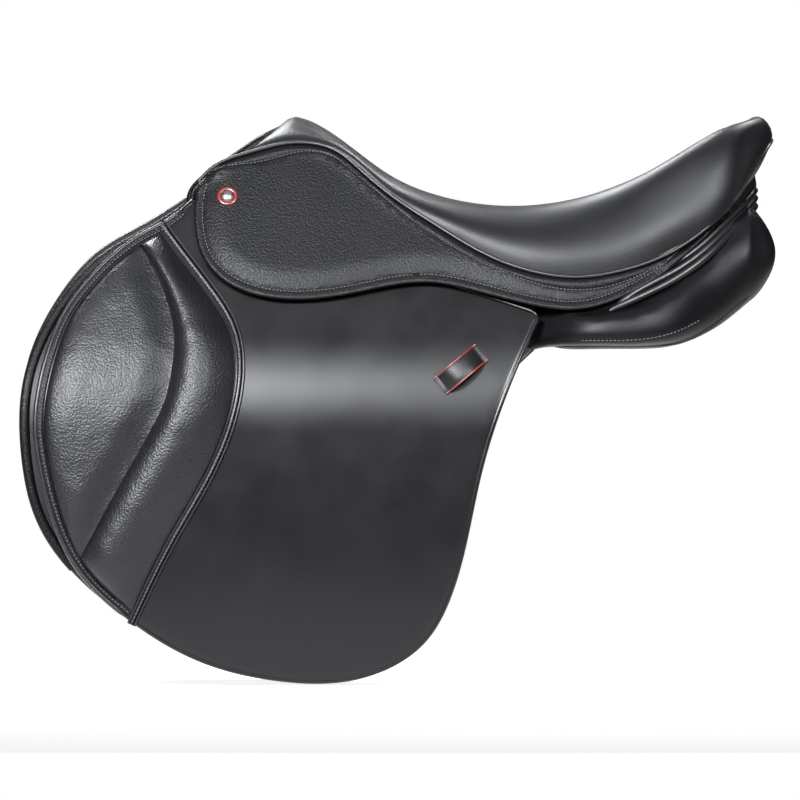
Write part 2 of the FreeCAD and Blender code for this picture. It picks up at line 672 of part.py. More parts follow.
def build_point_pocket():
    blank = ply("pocket_blank", size["rail_outer"] + 0.4, size["rail_outer"] + 2)
    outline = straight((184, 56), (186, 66), (151, 66), (151, 52), (184, 56))
    keep_pair(common("point_pocket", blank, side_prism("pocket_shape", outline)),
              "point_pocket")


# ------------------------------------------------------------------ billets

def origin_plane(body, role):
    for feature in body.Origin.OriginFeatures:
        if feature.Role == role:
            return feature
    raise ValueError(role)


def billet(name, x):
    """A girth strap with a row of holes and a rounded tip."""
    body = doc.addObject("PartDesign::Body", name)
    profile = body.newObject("Sketcher::SketchObject", name + "_profile")
    profile.AttachmentSupport = [(origin_plane(body, "YZ_Plane"), "")]
    profile.MapMode = "FlatFace"
    for curve in ply_section(size["billet_inner"], size["billet_outer"],
                             size["billet_foot"], size["billet_rise"]):
        profile.addGeometry(curve, False)
    strap = body.newObject("PartDesign::Pad", name + "_strap")
    strap.Profile = profile
    strap.Midplane = True
    strap.setExpression("Length", "Dimensions.billet_width")
    doc.recompute()
    corners = []
    for number, edge in enumerate(strap.Shape.Edges, start=1):
        ends = [vertex.Point for vertex in edge.Vertexes]
        at_tip = all(abs(end.z + size["billet_foot"]) < 0.01 for end in ends)
        if at_tip and abs(ends[0].x - ends[1].x) < 0.01:
            corners.append(f"Edge{number}")
    tip = body.newObject("PartDesign::Fillet", name + "_tip")
    tip.Base = (strap, corners)
    tip.setExpression("Radius", "Dimensions.billet_tip_radius")
    doc.recompute()
    first = body.newObject("Sketcher::SketchObject", name + "_hole_centre")
    first.AttachmentSupport = [(origin_plane(body, "XZ_Plane"), "")]
    first.MapMode = "FlatFace"
    first.addGeometry(Part.Circle(Vector(0, -size["billet_hole_top"], 0), Vector(0, 0, 1),
                                  size["billet_hole_radius"]), False)
    hole = body.newObject("PartDesign::Pocket", name + "_hole")
    hole.Profile = first
    hole.Type = "ThroughAll"
    hole.Midplane = True
    doc.recompute()
    row = body.newObject("PartDesign::LinearPattern", name + "_holes")
    row.Originals = [hole]
    row.Direction = (first, ["V_Axis"])
    row.Reversed = True
    row.setExpression("Length",
                      "(Dimensions.billet_hole_count - 1) * Dimensions.billet_hole_pitch")
    row.setExpression("Occurrences", "Dimensions.billet_hole_count")
    body.Tip = row
    body.Placement = FreeCAD.Placement(Vector(x, 0, 0), FreeCAD.Rotation())
    doc.recompute()
    thickness = size["billet_outer"] - size["billet_inner"]
    one_hole = math.pi * size["billet_hole_radius"] ** 2 * thickness
    drilled = tip.Shape.Volume - row.Shape.Volume
    if drilled < 0.9 * size["billet_hole_count"] * one_hole:
        raise RuntimeError(name + " has holes missing")
    return body


def build_billets():
    """Three straps a side, and the webbing that ties them to the tree."""
    middle_x, pitch = size["billet_middle"], size["billet_pitch"]
    for name, x in (("front", middle_x + pitch), ("middle", middle_x),
                    ("rear", middle_x - pitch)):
        keep_pair(billet("billet_" + name, x), "billet_" + name)
    inner, outer = size["web_inner"], size["web_outer"]
    anchor_blank = ply("web_anchor_blank", size["rail_outer"], inner + 0.1)
    strap_blank = ply("web_strap_blank", inner, outer)
    anchor = common("web_anchor", anchor_blank, side_prism("web_anchor_shape", straight(
        (20, 39.5), (112, 39.5), (112, 74), (20, 59), (20, 39.5))))
    strap = common("web_strap", strap_blank, side_prism("web_strap_shape", straight(
        (20, 15), (120, 15), (120, 60), (20, 41), (20, 15))))
    keep_pair(fuse("girth_web", anchor, strap), "girth_web")


def build_buckle_guard():
    """A leather guard that slides on the billets, with a tunnel for each."""
    top, foot, width = -76.0, -108.0, 108.0
    centre_x = size["billet_middle"]
    base_y = BEND_Y + size["bend_radius"]
    outer_face, inner_face = -1.2, -11.3

    def block(name, x, length, low, high, wide, deep):
        place = FreeCAD.Placement(Vector(x - length / 2, base_y + low, deep),
                                  FreeCAD.Rotation())
        return primitive("Box", name, place, Length=length, Width=high - low, Height=wide)

    whole = block("guard_block", centre_x, width, inner_face, outer_face,
                  top - foot, foot)
    tunnels = []
    for number in (-1, 0, 1):
        x = centre_x + number * size["billet_pitch"]
        tunnels.append(block(f"guard_tunnel_{number + 2}", x, size["billet_width"] + 2.5,
                             size["billet_inner"] - 0.8, size["billet_outer"] + 0.8,
                             top - foot + 4, foot - 2))
    for number, tunnel in enumerate(tunnels, start=1):
        whole = cut(f"guard_cut_{number}", whole, tunnel)
    keep_pair(whole, "buckle_guard")


# -------------------------------------------------------------------- build

def check_and_export():
    doc.recompute()
    os.makedirs("parts", exist_ok=True)
    for item in doc.Objects:
        if "Invalid" in item.State or "Error" in item.State:
            raise RuntimeError(f"{item.Label} failed: {item.State}")
    for item in parts:
        if item.Shape.isNull() or not item.Shape.isValid() or not item.Shape.Solids:
            raise RuntimeError(f"{item.Label} has no valid solid")
    for item in parts:
        item.Shape.exportStep(f"parts/{item.Label}.step")
        box = item.Shape.BoundBox
        print(f"{item.Label:22s} solids {len(item.Shape.Solids)} "
              f"volume {item.Shape.Volume / 1000:8.1f} cm3  "
              f"x {box.XMin:7.1f} {box.XMax:7.1f}  y {box.YMin:7.1f} {box.YMax:7.1f}  "
              f"z {box.ZMin:7.1f} {box.ZMax:7.1f}")


def main():
    blanks = build_blanks()
    rear_plan = oval_plan()
    build_seat()
    rivet_holes = build_tree_fittings(build_tree(blanks))
    build_stirrup_bar(rivet_holes)
    build_skirt_and_flap(blanks)
    build_saddle_nail()
    build_knee_block()
    build_keeper()
    build_sweat_flap()
    build_panels(rear_plan)
    build_facings(rear_plan)
    build_point_pocket()
    build_billets()
    build_buckle_guard()
    check_and_export()


main()
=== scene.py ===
import math

import bmesh
import bpy
import numpy as np
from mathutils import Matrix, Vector, noise
from mathutils.geometry import delaunay_2d_cdt


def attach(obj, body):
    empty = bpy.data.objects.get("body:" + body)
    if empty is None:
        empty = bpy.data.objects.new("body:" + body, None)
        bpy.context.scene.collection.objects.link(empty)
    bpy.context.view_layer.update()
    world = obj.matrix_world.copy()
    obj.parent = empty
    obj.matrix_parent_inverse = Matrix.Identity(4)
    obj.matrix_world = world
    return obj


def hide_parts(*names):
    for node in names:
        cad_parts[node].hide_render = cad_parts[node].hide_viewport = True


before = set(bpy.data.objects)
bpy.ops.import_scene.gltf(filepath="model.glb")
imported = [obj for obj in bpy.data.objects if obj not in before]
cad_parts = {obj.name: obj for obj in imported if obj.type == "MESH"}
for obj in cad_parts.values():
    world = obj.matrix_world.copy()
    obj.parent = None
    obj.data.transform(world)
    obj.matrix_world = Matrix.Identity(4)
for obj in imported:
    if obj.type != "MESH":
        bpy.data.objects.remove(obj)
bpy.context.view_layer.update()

# An English jumping saddle.  Shapes are worked out in millimetres in the
# part's frame: +X to the pommel, +Y to the left side, +Z up.  A leather's
# "ply height" is its distance outside the flap's inner face.
SLOPE = math.radians(28.0)
REACH = 125.5
BEND_RADIUS = 160.0
BEND_Y = REACH - BEND_RADIUS * math.cos(SLOPE)
BEND_Z = -BEND_RADIUS * math.sin(SLOPE)
FLAP_FOOT = 285.0
FLAP_BELLY = 6.0
SIDES = (("left", 1.0), ("right", -1.0))
CENTRE = "saddle"

# Ply heights of the inner and outer faces of the flat leathers, and of the skirt's
# outer face.
FLAP_PLY = (0.0, 4.0)
SWEAT_PLY = (-16.0, -12.0)
BILLET_PLY = (-8.5, -4.5)
SKIRT_OUTER = 16.0
SKIRT_THICKNESS = 3.5


# ------------------------------------------------------------------ curves

def natural_spline(knots, values, at):
    """Natural cubic spline through the values, read at the given places."""
    count = len(knots)
    step = np.diff(knots)
    matrix = np.zeros((count, count))
    right = np.zeros(values.shape)
    matrix[0, 0] = matrix[-1, -1] = 1.0
    slopes = np.diff(values, axis=0) / step[:, None]
    for i in range(1, count - 1):
        matrix[i, i - 1:i + 2] = step[i - 1], 2 * (step[i - 1] + step[i]), step[i]
        right[i] = 6 * (slopes[i] - slopes[i - 1])
    bend = np.linalg.solve(matrix, right)
    i = np.clip(np.searchsorted(knots, at) - 1, 0, count - 2)
    h = step[i][:, None]
    a = (knots[i + 1] - at)[:, None] / h
    b = (at - knots[i])[:, None] / h
    cubic = ((a ** 3 - a) * bend[i] + (b ** 3 - b) * bend[i + 1]) * h ** 2 / 6
    return a * values[i] + b * values[i + 1] + cubic


def chord(points):
    """Distance along a chain at each of its points."""
    steps = np.linalg.norm(np.diff(points, axis=0), axis=1)
    return np.concatenate([[0.0], np.cumsum(steps)])


def curve(points, spacing=2.5):
    """Evenly spaced points on a smooth curve through the given ones."""
    points = np.array(points, float)
    knots = chord(points)
    count = max(int(round(knots[-1] / spacing)), 2)
    return natural_spline(knots, points, np.linspace(0.0, knots[-1], count + 1))


def line(points, spacing=2.5):
    """Evenly spaced points on straight runs between the given ones."""
    points = np.array(points, float)
    found = [points[:1]]
    for start, end in zip(points, points[1:]):
        count = max(int(round(np.linalg.norm(end - start) / spacing)), 1)
        found.append(start + np.linspace(0, 1, count + 1)[1:, None] * (end - start))
    return np.vstack(found)


def nearest(chain, point):
    """Index of the point of a chain that lies nearest to the given one."""
    return np.argmin(np.hypot(*(chain - point).T))


def both_sides(left):
    """A chain that ends on the centre plane, carried on to the right side."""
    return np.vstack([left, (left[:-1] * (1, -1, 1))[::-1]])


def spaced(points, count):
    """A number of points on a smooth curve through the given ones."""
    knots = chord(points)
    return natural_spline(knots, points, np.linspace(0, knots[-1], count))


def side_normals(points, closed=False):
    """Unit normals to the left of a chain of side-view points."""
    if closed:
        run = np.roll(points, -1, axis=0) - np.roll(points, 1, axis=0)
    else:
        run = np.gradient(points, axis=0)
    run /= np.linalg.norm(run, axis=1)[:, None] + 1e-9
    return np.stack([-run[:, 1], run[:, 0]], axis=1)


def shifted(points, distance, closed=False):
    """A chain moved sideways."""
    return points + side_normals(points, closed) * distance


def distance_to(chain, points, closed=False):
    """Distance from each point to a chain of segments."""
    start = chain if closed else chain[:-1]
    end = np.roll(chain, -1, axis=0) if closed else chain[1:]
    run = end - start
    length = np.maximum((run ** 2).sum(1), 1e-9)
    best = np.full(len(points), 1e9)
    for s, r, k in zip(start, run, length):
        t = np.clip(((points - s) @ r) / k, 0, 1)
        gap = points - s - t[:, None] * r
        best = np.minimum(best, (gap ** 2).sum(1))
    return np.sqrt(best)


def inside(chain, points):
    """Whether each side-view point lies within a closed chain."""
    found = np.zeros(len(points), bool)
    ends = np.roll(chain, -1, axis=0)
    for (x0, z0), (x1, z1) in zip(chain, ends):
        if z0 == z1:
            continue
        crosses = (z0 > points[:, 1]) != (z1 > points[:, 1])
        at = x0 + (points[:, 1] - z0) * (x1 - x0) / (z1 - z0)
        found ^= crosses & (points[:, 0] < at)
    return found


def smoothstep(value):
    """From 0 to 1 with level ends."""
    value = np.clip(value, 0.0, 1.0)
    return value * value * (3 - 2 * value)


# ---------------------------------------------------------- the ply surface

def belly(z):
    """How far the flap bows out beyond its plain section."""
    depth = np.clip(-np.asarray(z, float) / FLAP_FOOT, 0.0, 1.0)
    return FLAP_BELLY * np.where(depth < 0.5, smoothstep(2 * depth),
                                 np.cos(math.pi * (depth - 0.5)))


def ply_y(z, height, bowed=True):
    """Y of a ply of the given height at the given level, on the left side."""
    z = np.asarray(z, float)
    height = np.asarray(height, float) + np.zeros_like(z)
    radius = BEND_RADIUS + height
    slope = REACH - z * math.tan(SLOPE) + height / math.cos(SLOPE)
    bend = BEND_Y + np.sqrt(np.maximum(radius ** 2 - (z - BEND_Z) ** 2, 0.0))
    y = np.where(z <= BEND_Z, BEND_Y + radius,
                 np.where(z >= height * math.sin(SLOPE), slope, bend))
    return y + (belly(z) if bowed else 0.0)


def on_ply(points, height, bowed=True):
    """Side-view points brought onto a ply."""
    points = np.asarray(points, float)
    y = ply_y(points[:, 1], height, bowed)
    return np.stack([points[:, 0], y, points[:, 1]], axis=1)


def ply_normals(points, bowed=True):
    """Outward normals of the ply surface at side-view points."""
    z = np.asarray(points, float)[:, 1]
    fall = (ply_y(z - 1.0, 0.0, bowed) - ply_y(z + 1.0, 0.0, bowed)) / 2
    normals = np.stack([np.zeros_like(z), np.ones_like(z), fall], axis=1)
    return normals / np.linalg.norm(normals, axis=1)[:, None]


# ------------------------------------------------------------------ meshes

def mirror(mesh):
    """The same mesh on the other side of the centre plane."""
    verts, faces = mesh
    return verts * (1.0, -1.0, 1.0), [tuple(reversed(face)) for face in faces]


def merge(meshes):
    """Several meshes as one."""
    verts, faces, start = [], [], 0
    for piece_verts, piece_faces in meshes:
        verts.append(piece_verts)
        faces += [tuple(i + start for i in face) for face in piece_faces]
        start += len(piece_verts)
    return np.vstack(verts), faces


def piece(name, mesh, material, body, nodes=(), sharp=48.0):
    """One Blender object, from millimetres, that rides on a CAD body."""
    verts, faces = mesh
    data = bpy.data.meshes.new(name)
    data.from_pydata((verts * 0.001).tolist(), [], faces)
    work = bmesh.new()
    work.from_mesh(data)
    bmesh.ops.recalc_face_normals(work, faces=work.faces)
    work.to_mesh(data)
    work.free()
    data.shade_smooth()
    data.set_sharp_from_angle(angle=math.radians(sharp))
    data.materials.append(material)
    obj = bpy.data.objects.new(name, data)
    bpy.context.scene.collection.objects.link(obj)
    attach(obj, body)
    if nodes:
        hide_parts(*nodes)


def pair(name, mesh, material, body, nodes=(), sharp=48.0):
    """The piece on the left side and its mirror image on the right."""
    for side, sign in SIDES:
        own = mesh if sign > 0 else mirror(mesh)
        home = body if body == CENTRE else f"{body}_{side}"
        piece(f"{name}_{side}", own, material, home,
              [f"{node}_{side}" for node in nodes], sharp)


def sheet(outline, front, back, rounded=None, spacing=6.0, rings=(0.4, 1.2, 2.6, 4.6),
          holes=(), extra=(), bowed=True):
    """A closed piece of leather that lies along the ply surface.

    front and back give ply heights for side-view points and their distance to
    the rounded part of the edge.
    """
    rounded = [outline] if rounded is None else rounded
    ring_points = [outline]
    for inset in rings:
        for sign in (1, -1):
            moved = shifted(outline, sign * inset, True)
            kept = inside(outline, moved)
            kept &= distance_to(outline, moved, True) > inset * 0.93
            ring_points.append(moved[kept])
    for chain in extra:
        ring_points.append(chain[inside(outline, chain)])
    low, high = outline.min(0), outline.max(0)
    xs = np.arange(low[0] + spacing / 2, high[0], spacing)
    zs = np.arange(low[1] + spacing / 2, high[1], spacing * 0.87)
    grid = np.array([(x + (spacing / 2 if row % 2 else 0.0), z)
                     for row, z in enumerate(zs) for x in xs])
    keep = inside(outline, grid)
    keep &= distance_to(outline, grid, True) > max(rings) + spacing * 0.45
    for chain in extra:
        keep &= distance_to(chain, grid) > spacing * 0.35
    edges = [(i, (i + 1) % len(outline)) for i in range(len(outline))]
    start = sum(len(part) for part in ring_points)
    for centre, radius in holes:
        turn = np.linspace(0, 2 * math.pi, 17)[:-1]
        circle = np.stack([np.cos(turn), np.sin(turn)], axis=1)
        for scale in (1.0, 1.35):
            ring = np.array(centre) + circle * radius * scale
            if scale == 1.0:
                edges += [(start + i, start + (i + 1) % 16) for i in range(16)]
            ring_points.append(ring)
            start += 16
        keep &= np.hypot(*(grid - centre).T) > radius * 1.8
    ring_points.append(grid[keep])
    flat = np.vstack(ring_points)
    result = delaunay_2d_cdt([Vector(p) for p in flat], edges, [], 1, 1e-4)
    flat = np.array([tuple(v) for v in result[0]])
    triangles = [tuple(face) for face in result[2]]
    for centre, radius in holes:
        triangles = [t for t in triangles
                     if np.hypot(*(flat[list(t)].mean(0) - centre)) > radius]
    used = sorted({i for t in triangles for i in t})
    place = {old: new for new, old in enumerate(used)}
    flat = flat[used]
    triangles = [tuple(place[i] for i in t) for t in triangles]
    gap = np.min([distance_to(chain, flat, chain is outline) for chain in rounded], axis=0)
    for centre, radius in holes:
        gap = np.minimum(gap, np.abs(np.hypot(*(flat - centre).T) - radius))
    top = on_ply(flat, front(flat, gap), bowed)
    under = on_ply(flat, back(flat, gap), bowed)
    count = len(flat)
    counted = {}
    for a, b, c in triangles:
        for pair_of in ((a, b), (b, c), (c, a)):
            key = tuple(sorted(pair_of))
            counted[key] = None if key in counted else pair_of
    walls = [(b, a, a + count, b + count) for a, b in filter(None, counted.values())]
    faces = triangles + [tuple(i + count for i in reversed(t)) for t in triangles]
    return np.vstack([top, under]), faces + walls


def round_edge(gap, radius):
    """From 0 at the edge to 1 at a radius inside it, like a quarter circle."""
    part = np.clip(gap / radius, 0.0, 1.0)
    return np.sqrt(1 - (1 - part) ** 2)


def leather(inner, outer, radius=None):
    """Front and back heights of an even leather with rounded edges."""
    half = (outer - inner) / 2
    radius = half if radius is None else radius

    def front(points, gap):
        return inner + half + (half - 0.08) * round_edge(gap, radius) + 0.08

    def back(points, gap):
        return inner + half - (half - 0.08) * round_edge(gap, radius) - 0.08
    return front, back


def sweep(path, normals, profile):
    """A profile of (sideways, outwards) points moved along a path."""
    run = np.gradient(path, axis=0)
    run /= np.linalg.norm(run, axis=1)[:, None]
    out = normals - (normals * run).sum(1)[:, None] * run
    out /= np.linalg.norm(out, axis=1)[:, None]
    across = np.cross(out, run)
    profile = np.array(profile, float)
    if profile.ndim == 2:
        profile = np.repeat(profile[None], len(path), axis=0)
    verts = (path[:, None] + across[:, None] * profile[:, :, :1]
             + out[:, None] * profile[:, :, 1:])
    return loft(verts)


def loft(rings):
    """Closed rings of points joined one after another, with both ends shut."""
    count, around = rings.shape[:2]
    faces = []
    for i in range(count - 1):
        j = i + 1
        for k in range(around):
            n = (k + 1) % around
            faces.append((i * around + k, i * around + n, j * around + n, j * around + k))
    verts = np.vstack([rings.reshape(-1, 3), rings[0].mean(0), rings[-1].mean(0)])
    first, last = count * around, count * around + 1
    for k in range(around):
        n = (k + 1) % around
        faces.append((first, n, k))
        faces.append((last, (count - 1) * around + k, (count - 1) * around + n))
    return verts, faces


def circle(radius, sides=10, flatten=1.0):
    """A round profile, or an oval one when flattened."""
    turn = np.linspace(0, 2 * math.pi, sides + 1)[:-1]
    return np.stack([np.cos(turn) * radius, np.sin(turn) * radius * flatten], axis=1)


def tapered(profile, count, ends=3, least=0.35):
    """The profile once for each place on a path, smaller at the path's ends."""
    profile = np.array(profile, float)
    scale = np.ones(count)
    ramp = least + (1 - least) * np.sqrt(np.linspace(0, 1, ends + 1)[:-1])
    scale[:ends] = ramp
    scale[-ends:] = ramp[::-1]
    return profile[None] * scale[:, None, None]


def ply_tube(points, height, radius):
    """A piping along side-view points, its centre at a ply height."""
    path = on_ply(points, height)
    return sweep(path, ply_normals(points), tapered(circle(radius, 12), len(path)))


def ply_band(points, profile):
    """A flat moulding along side-view points, with ply heights in its profile."""
    path = on_ply(points, 0.0)
    return sweep(path, ply_normals(points), tapered(profile, len(path), 2, 0.9))


def stitches(path, normals, pitch=3.4, length=2.3, radius=0.42, sink=0.1):
    """A row of short threads along a path on a surface."""
    knots = chord(path)
    count = int(knots[-1] // pitch)
    shape = ((-0.5, 0.3), (-0.36, 0.95), (0.36, 0.95), (0.5, 0.3))
    sides = 6
    found = []
    for i in range(count):
        middle = (i + 0.5) * pitch
        ends = [np.array([np.interp(middle + s * length / 2, knots, path[:, k])
                          for k in range(3)]) for s in (-1, 1)]
        along = ends[1] - ends[0]
        along /= np.linalg.norm(along) + 1e-9
        here = min(int(np.searchsorted(knots, middle)), len(normals) - 1)
        out = normals[here] - normals[here] @ along * along
        out /= np.linalg.norm(out)
        across = np.cross(out, along)
        centre = (ends[0] + ends[1]) / 2 - out * sink
        rings = []
        for t, r in shape:
            turn = np.arange(sides) * 2 * math.pi / sides
            rings.append(centre + along * t * length
                         + (across * np.cos(turn)[:, None] + out * np.sin(turn)[:, None])
                         * radius * r)
        found.append(loft(np.array(rings)))
    return merge(found)


def ply_stitches(points, height, bowed=True, **sizes):
    """A row of stitches along side-view points, at a ply height."""
    points = np.asarray(points)
    return stitches(on_ply(points, height, bowed), ply_normals(points, bowed), **sizes)


# --------------------------------------------------------------- materials

def new_material(name):
    """A node material and its shader."""
    material = bpy.data.materials.new(name)
    material.use_nodes = True
    return material, material.node_tree.nodes["Principled BSDF"]


def put(node, values):
    """Sets input sockets of a node, by name or number."""
    for socket, value in values.items():
        node.inputs[socket].default_value = value


def add(material, kind, values=None, **settings):
    """A new node, with its settings made before its socket values."""
    node = material.node_tree.nodes.new(kind)
    for name, setting in settings.items():
        setattr(node, name, setting)
    put(node, values or {})
    return node


def join(material, source, output, target, socket):
    """Links an output of one node to an input of another."""
    material.node_tree.links.new(source.outputs[output], target.inputs[socket])


def leather_material(name, colour, roughness, grain, depth, shine, wear=0.25):
    """Dyed leather: pebbles of a given size in millimetres over soft mottling."""
    material, shader = new_material(name)
    place = add(material, "ShaderNodeTexCoord")
    cells = add(material, "ShaderNodeTexVoronoi",
                {"Scale": 1000.0 / grain, "Smoothness": 0.55, "Randomness": 1.0},
                feature="SMOOTH_F1")
    pores = add(material, "ShaderNodeTexNoise", {"Scale": 2600.0 / grain, "Detail": 3.0})
    cloud = add(material, "ShaderNodeTexNoise", {"Scale": 28.0, "Detail": 4.0})
    for texture in (cells, pores, cloud):
        join(material, place, "Object", texture, "Vector")
    height = add(material, "ShaderNodeMath", {1: 0.3}, operation="MULTIPLY_ADD")
    join(material, pores, "Fac", height, 0)
    join(material, cells, "Distance", height, 2)
    bump = add(material, "ShaderNodeBump", {"Strength": depth, "Distance": grain * 0.0003},
               invert=True)
    join(material, height, "Value", bump, "Height")
    join(material, bump, "Normal", shader, "Normal")
    tint = add(material, "ShaderNodeMix",
               {"A": (*[c * (1 - wear) for c in colour], 1.0),
                "B": (*[c * (1 + wear) for c in colour], 1.0)}, data_type="RGBA")
    join(material, cloud, "Fac", tint, "Factor")
    join(material, tint, "Result", shader, "Base Color")
    rough = add(material, "ShaderNodeMapRange",
                {"To Min": roughness - 0.05, "To Max": roughness + 0.07})
    join(material, cloud, "Fac", rough, "Value")
    join(material, rough, "Result", shader, "Roughness")
    put(shader, {"Specular IOR Level": shine})
    return material


def stretched_noise(material, scale, values):
    """Noise drawn out along X, as in brushed metal or the grain of wood."""
    place = add(material, "ShaderNodeTexCoord")
    stretch = add(material, "ShaderNodeMapping", {"Scale": scale})
    grain = add(material, "ShaderNodeTexNoise", values)
    join(material, place, "Object", stretch, "Vector")
    join(material, stretch, "Vector", grain, "Vector")
    return grain


def plain_material(name, colour, roughness, metallic=0.0, scratch=0.0, coat=0.0):
    """Metal, enamel or thread, with fine brushing where asked for."""
    material, shader = new_material(name)
    put(shader, {"Base Color": (*colour, 1.0), "Roughness": roughness,
                 "Metallic": metallic, "Coat Weight": coat})
    if scratch:
        grain = stretched_noise(material, (60.0, 900.0, 900.0), {"Scale": 1.5})
        rough = add(material, "ShaderNodeMapRange",
                    {"To Min": roughness - scratch, "To Max": roughness + scratch})
        join(material, grain, "Fac", rough, "Value")
        join(material, rough, "Result", shader, "Roughness")
    return material


def wood_material(name):
    """Dark-stained beech."""
    dark, light = (0.030, 0.018, 0.010, 1.0), (0.07, 0.045, 0.025, 1.0)
    material = plain_material(name, (0.06, 0.035, 0.02), 0.45, coat=0.2)
    grain = stretched_noise(material, (6.0, 90.0, 90.0), {"Scale": 3.0, "Detail": 6.0})
    ramp = add(material, "ShaderNodeValToRGB")
    for stop, position, colour in zip(ramp.color_ramp.elements, (0.35, 0.7), (dark, light)):
        stop.position = position
        stop.color = colour
    shader = material.node_tree.nodes["Principled BSDF"]
    join(material, grain, "Fac", ramp, "Fac")
    join(material, ramp, "Color", shader, "Base Color")
    return material


def woven_material(name, colour, pitch):
    """Webbing with crossed ribs at a thread pitch in millimetres."""
    material = plain_material(name, colour, 0.85)
    place = add(material, "ShaderNodeTexCoord")
    bump = add(material, "ShaderNodeBump", {"Strength": 0.6, "Distance": 0.0004})
    total = add(material, "ShaderNodeMath", operation="ADD")
    for slot, direction in enumerate(("X", "DIAGONAL")):
        wave = add(material, "ShaderNodeTexWave", {"Scale": 1000.0 / pitch / 3.14},
                   bands_direction=direction)
        join(material, place, "Object", wave, "Vector")
        join(material, wave, "Fac", total, slot)
    join(material, total, "Value", bump, "Height")
    join(material, bump, "Normal", material.node_tree.nodes["Principled BSDF"], "Normal")
    return material


BLACK = (0.0012, 0.0012, 0.0015)
SEAT = leather_material("seat_black", BLACK, 0.42, 1.2, 0.22, 0.22, wear=0.15)
GRAINED = leather_material("grained_black", BLACK, 0.42, 1.6, 0.6, 0.13)
PADDED = leather_material("pad_black", BLACK, 0.42, 1.7, 0.6, 0.3)
SMOOTH = leather_material("flap_black", BLACK, 0.29, 0.6, 0.06, 0.25, wear=0.15)
PIPING = leather_material("piping_black", BLACK, 0.36, 0.8, 0.15, 0.4)
BRIDLE = leather_material("bridle_black", BLACK, 0.42, 0.9, 0.25, 0.25)
PANEL = leather_material("panel_black", BLACK, 0.40, 0.9, 0.15, 0.12)
THREAD = plain_material("thread", (0.035, 0.035, 0.04), 0.6)
NAIL = plain_material("nail_chrome", (0.17, 0.165, 0.16), 0.36, metallic=1.0)
ENAMEL = plain_material("red_enamel", (0.10, 0.006, 0.005), 0.3, coat=0.3)
EDGE_PAINT = plain_material("red_edge_paint", (0.09, 0.006, 0.005), 0.4, coat=0.2)
STEEL = plain_material("satin_steel", (0.60, 0.60, 0.62), 0.3, metallic=1.0, scratch=0.08)
WOOD = wood_material("beech")
WEBBING = woven_material("webbing", (0.06, 0.055, 0.045), 1.6)
BLACK_WEB = woven_material("black_webbing", (0.02, 0.02, 0.022), 1.4)

for node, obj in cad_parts.items():
    metal = node.startswith(("stirrup_bar", "catch_pin", "thumb_catch", "bar_rivets",
                             "head_plate"))
    obj.data.materials.clear()
    obj.data.materials.append(STEEL if metal else WOOD)


# ---------------------------------------------------------------- outlines

# Side views in millimetres.  Many of these points are pixel measurements of the
# photo that a separate program converted; report.md says which lists they are in.
FOLD_FRONT = (205, 117)
FOLD_REAR = (-83, 19.4)
WELT_LINE = ((199, 131), (187, 143), (158, 155), (125, 163), (107, 163), (88, 158),
             (67, 142), (41, 120), (5, 96), (-39, 70), (-83, 55), (-113, 52),
             (-148, 57), (-193, 74), (-239, 109))
SKIRT_EDGE = ((199, 131), (202, 115), (202, 94), (196, 70), (182, 52), (158, 39),
              (119, 33), (72, 38), (9, 47), (-33, 39), (-83, 27), (-116, 25),
              (-148, 34), (-193, 61), (-239, 106))
SKIRT_SEAM = ((192, 134), (188, 138), (151, 147), (113, 156), (97, 155), (77, 145),
              (56, 127), (25, 101), (-6, 80), (-33, 65), (-74, 48), (-100, 42),
              (-142, 45), (-188, 66))
FLAP_EDGE = (FOLD_FRONT, (226, 99), (243, 90), (265, 75), (286, 55), (310, 23),
             (323, -10), (331, -45), (333, -70), (329, -104), (317, -150), (301, -184),
             (255, -230), (197, -264), (131, -280), (66, -278), (12, -248),
             (-10, -209), (-34, -111), (-63, -25), FOLD_REAR)
SWEAT_EDGE = ((205, 122), (242, 98), (279, 76), (312, 39), (337, -12), (344, -62),
              (342, -98), (330, -148), (302, -190), (260, -225), (197, -254),
              (98, -272), (33, -254), (0, -197), (-25, -107), (-57, -29), (-78, -8))
SWEAT_TOP = ((-78, -8), (60, 20), (150, 42), (188, 60), (205, 122))
CREASE = ((256, 96), (248, 81), (235, 58), (224, 31), (218, 1), (220, -24), (224, -44),
          (235, -70), (253, -102), (270, -132), (285, -160), (297, -183))
PAD_SEAM = ((230, 95), (212, 71), (186, 37), (170, 10), (164, -20), (169, -60),
            (190, -113), (218, -162), (253, -233))


def fold_height(x):
    """Level of the fold line, about which flap and skirt turn."""
    rise = (FOLD_FRONT[1] - FOLD_REAR[1]) / (FOLD_FRONT[0] - FOLD_REAR[0])
    return FOLD_REAR[1] + rise * (x - FOLD_REAR[0])


def above_fold(chain):
    return chain[:, 1] > fold_height(chain[:, 0])


def split_at_fold(chain):
    """The runs of a chain above the fold line and the runs below it."""
    above = above_fold(chain)
    breaks = np.flatnonzero(above[1:] != above[:-1]) + 1
    return [(above[run[0]], chain[run])
            for run in np.split(np.arange(len(chain)), breaks) if len(run) > 2]


def at_fold(chain, i):
    """Where a chain crosses the fold line between its points i and i + 1."""
    high = chain[i][1] - fold_height(chain[i][0])
    low = chain[i + 1][1] - fold_height(chain[i + 1][0])
    return chain[i] + (chain[i + 1] - chain[i]) * high / (high - low)


# ------------------------------------------------------- flap and its pads

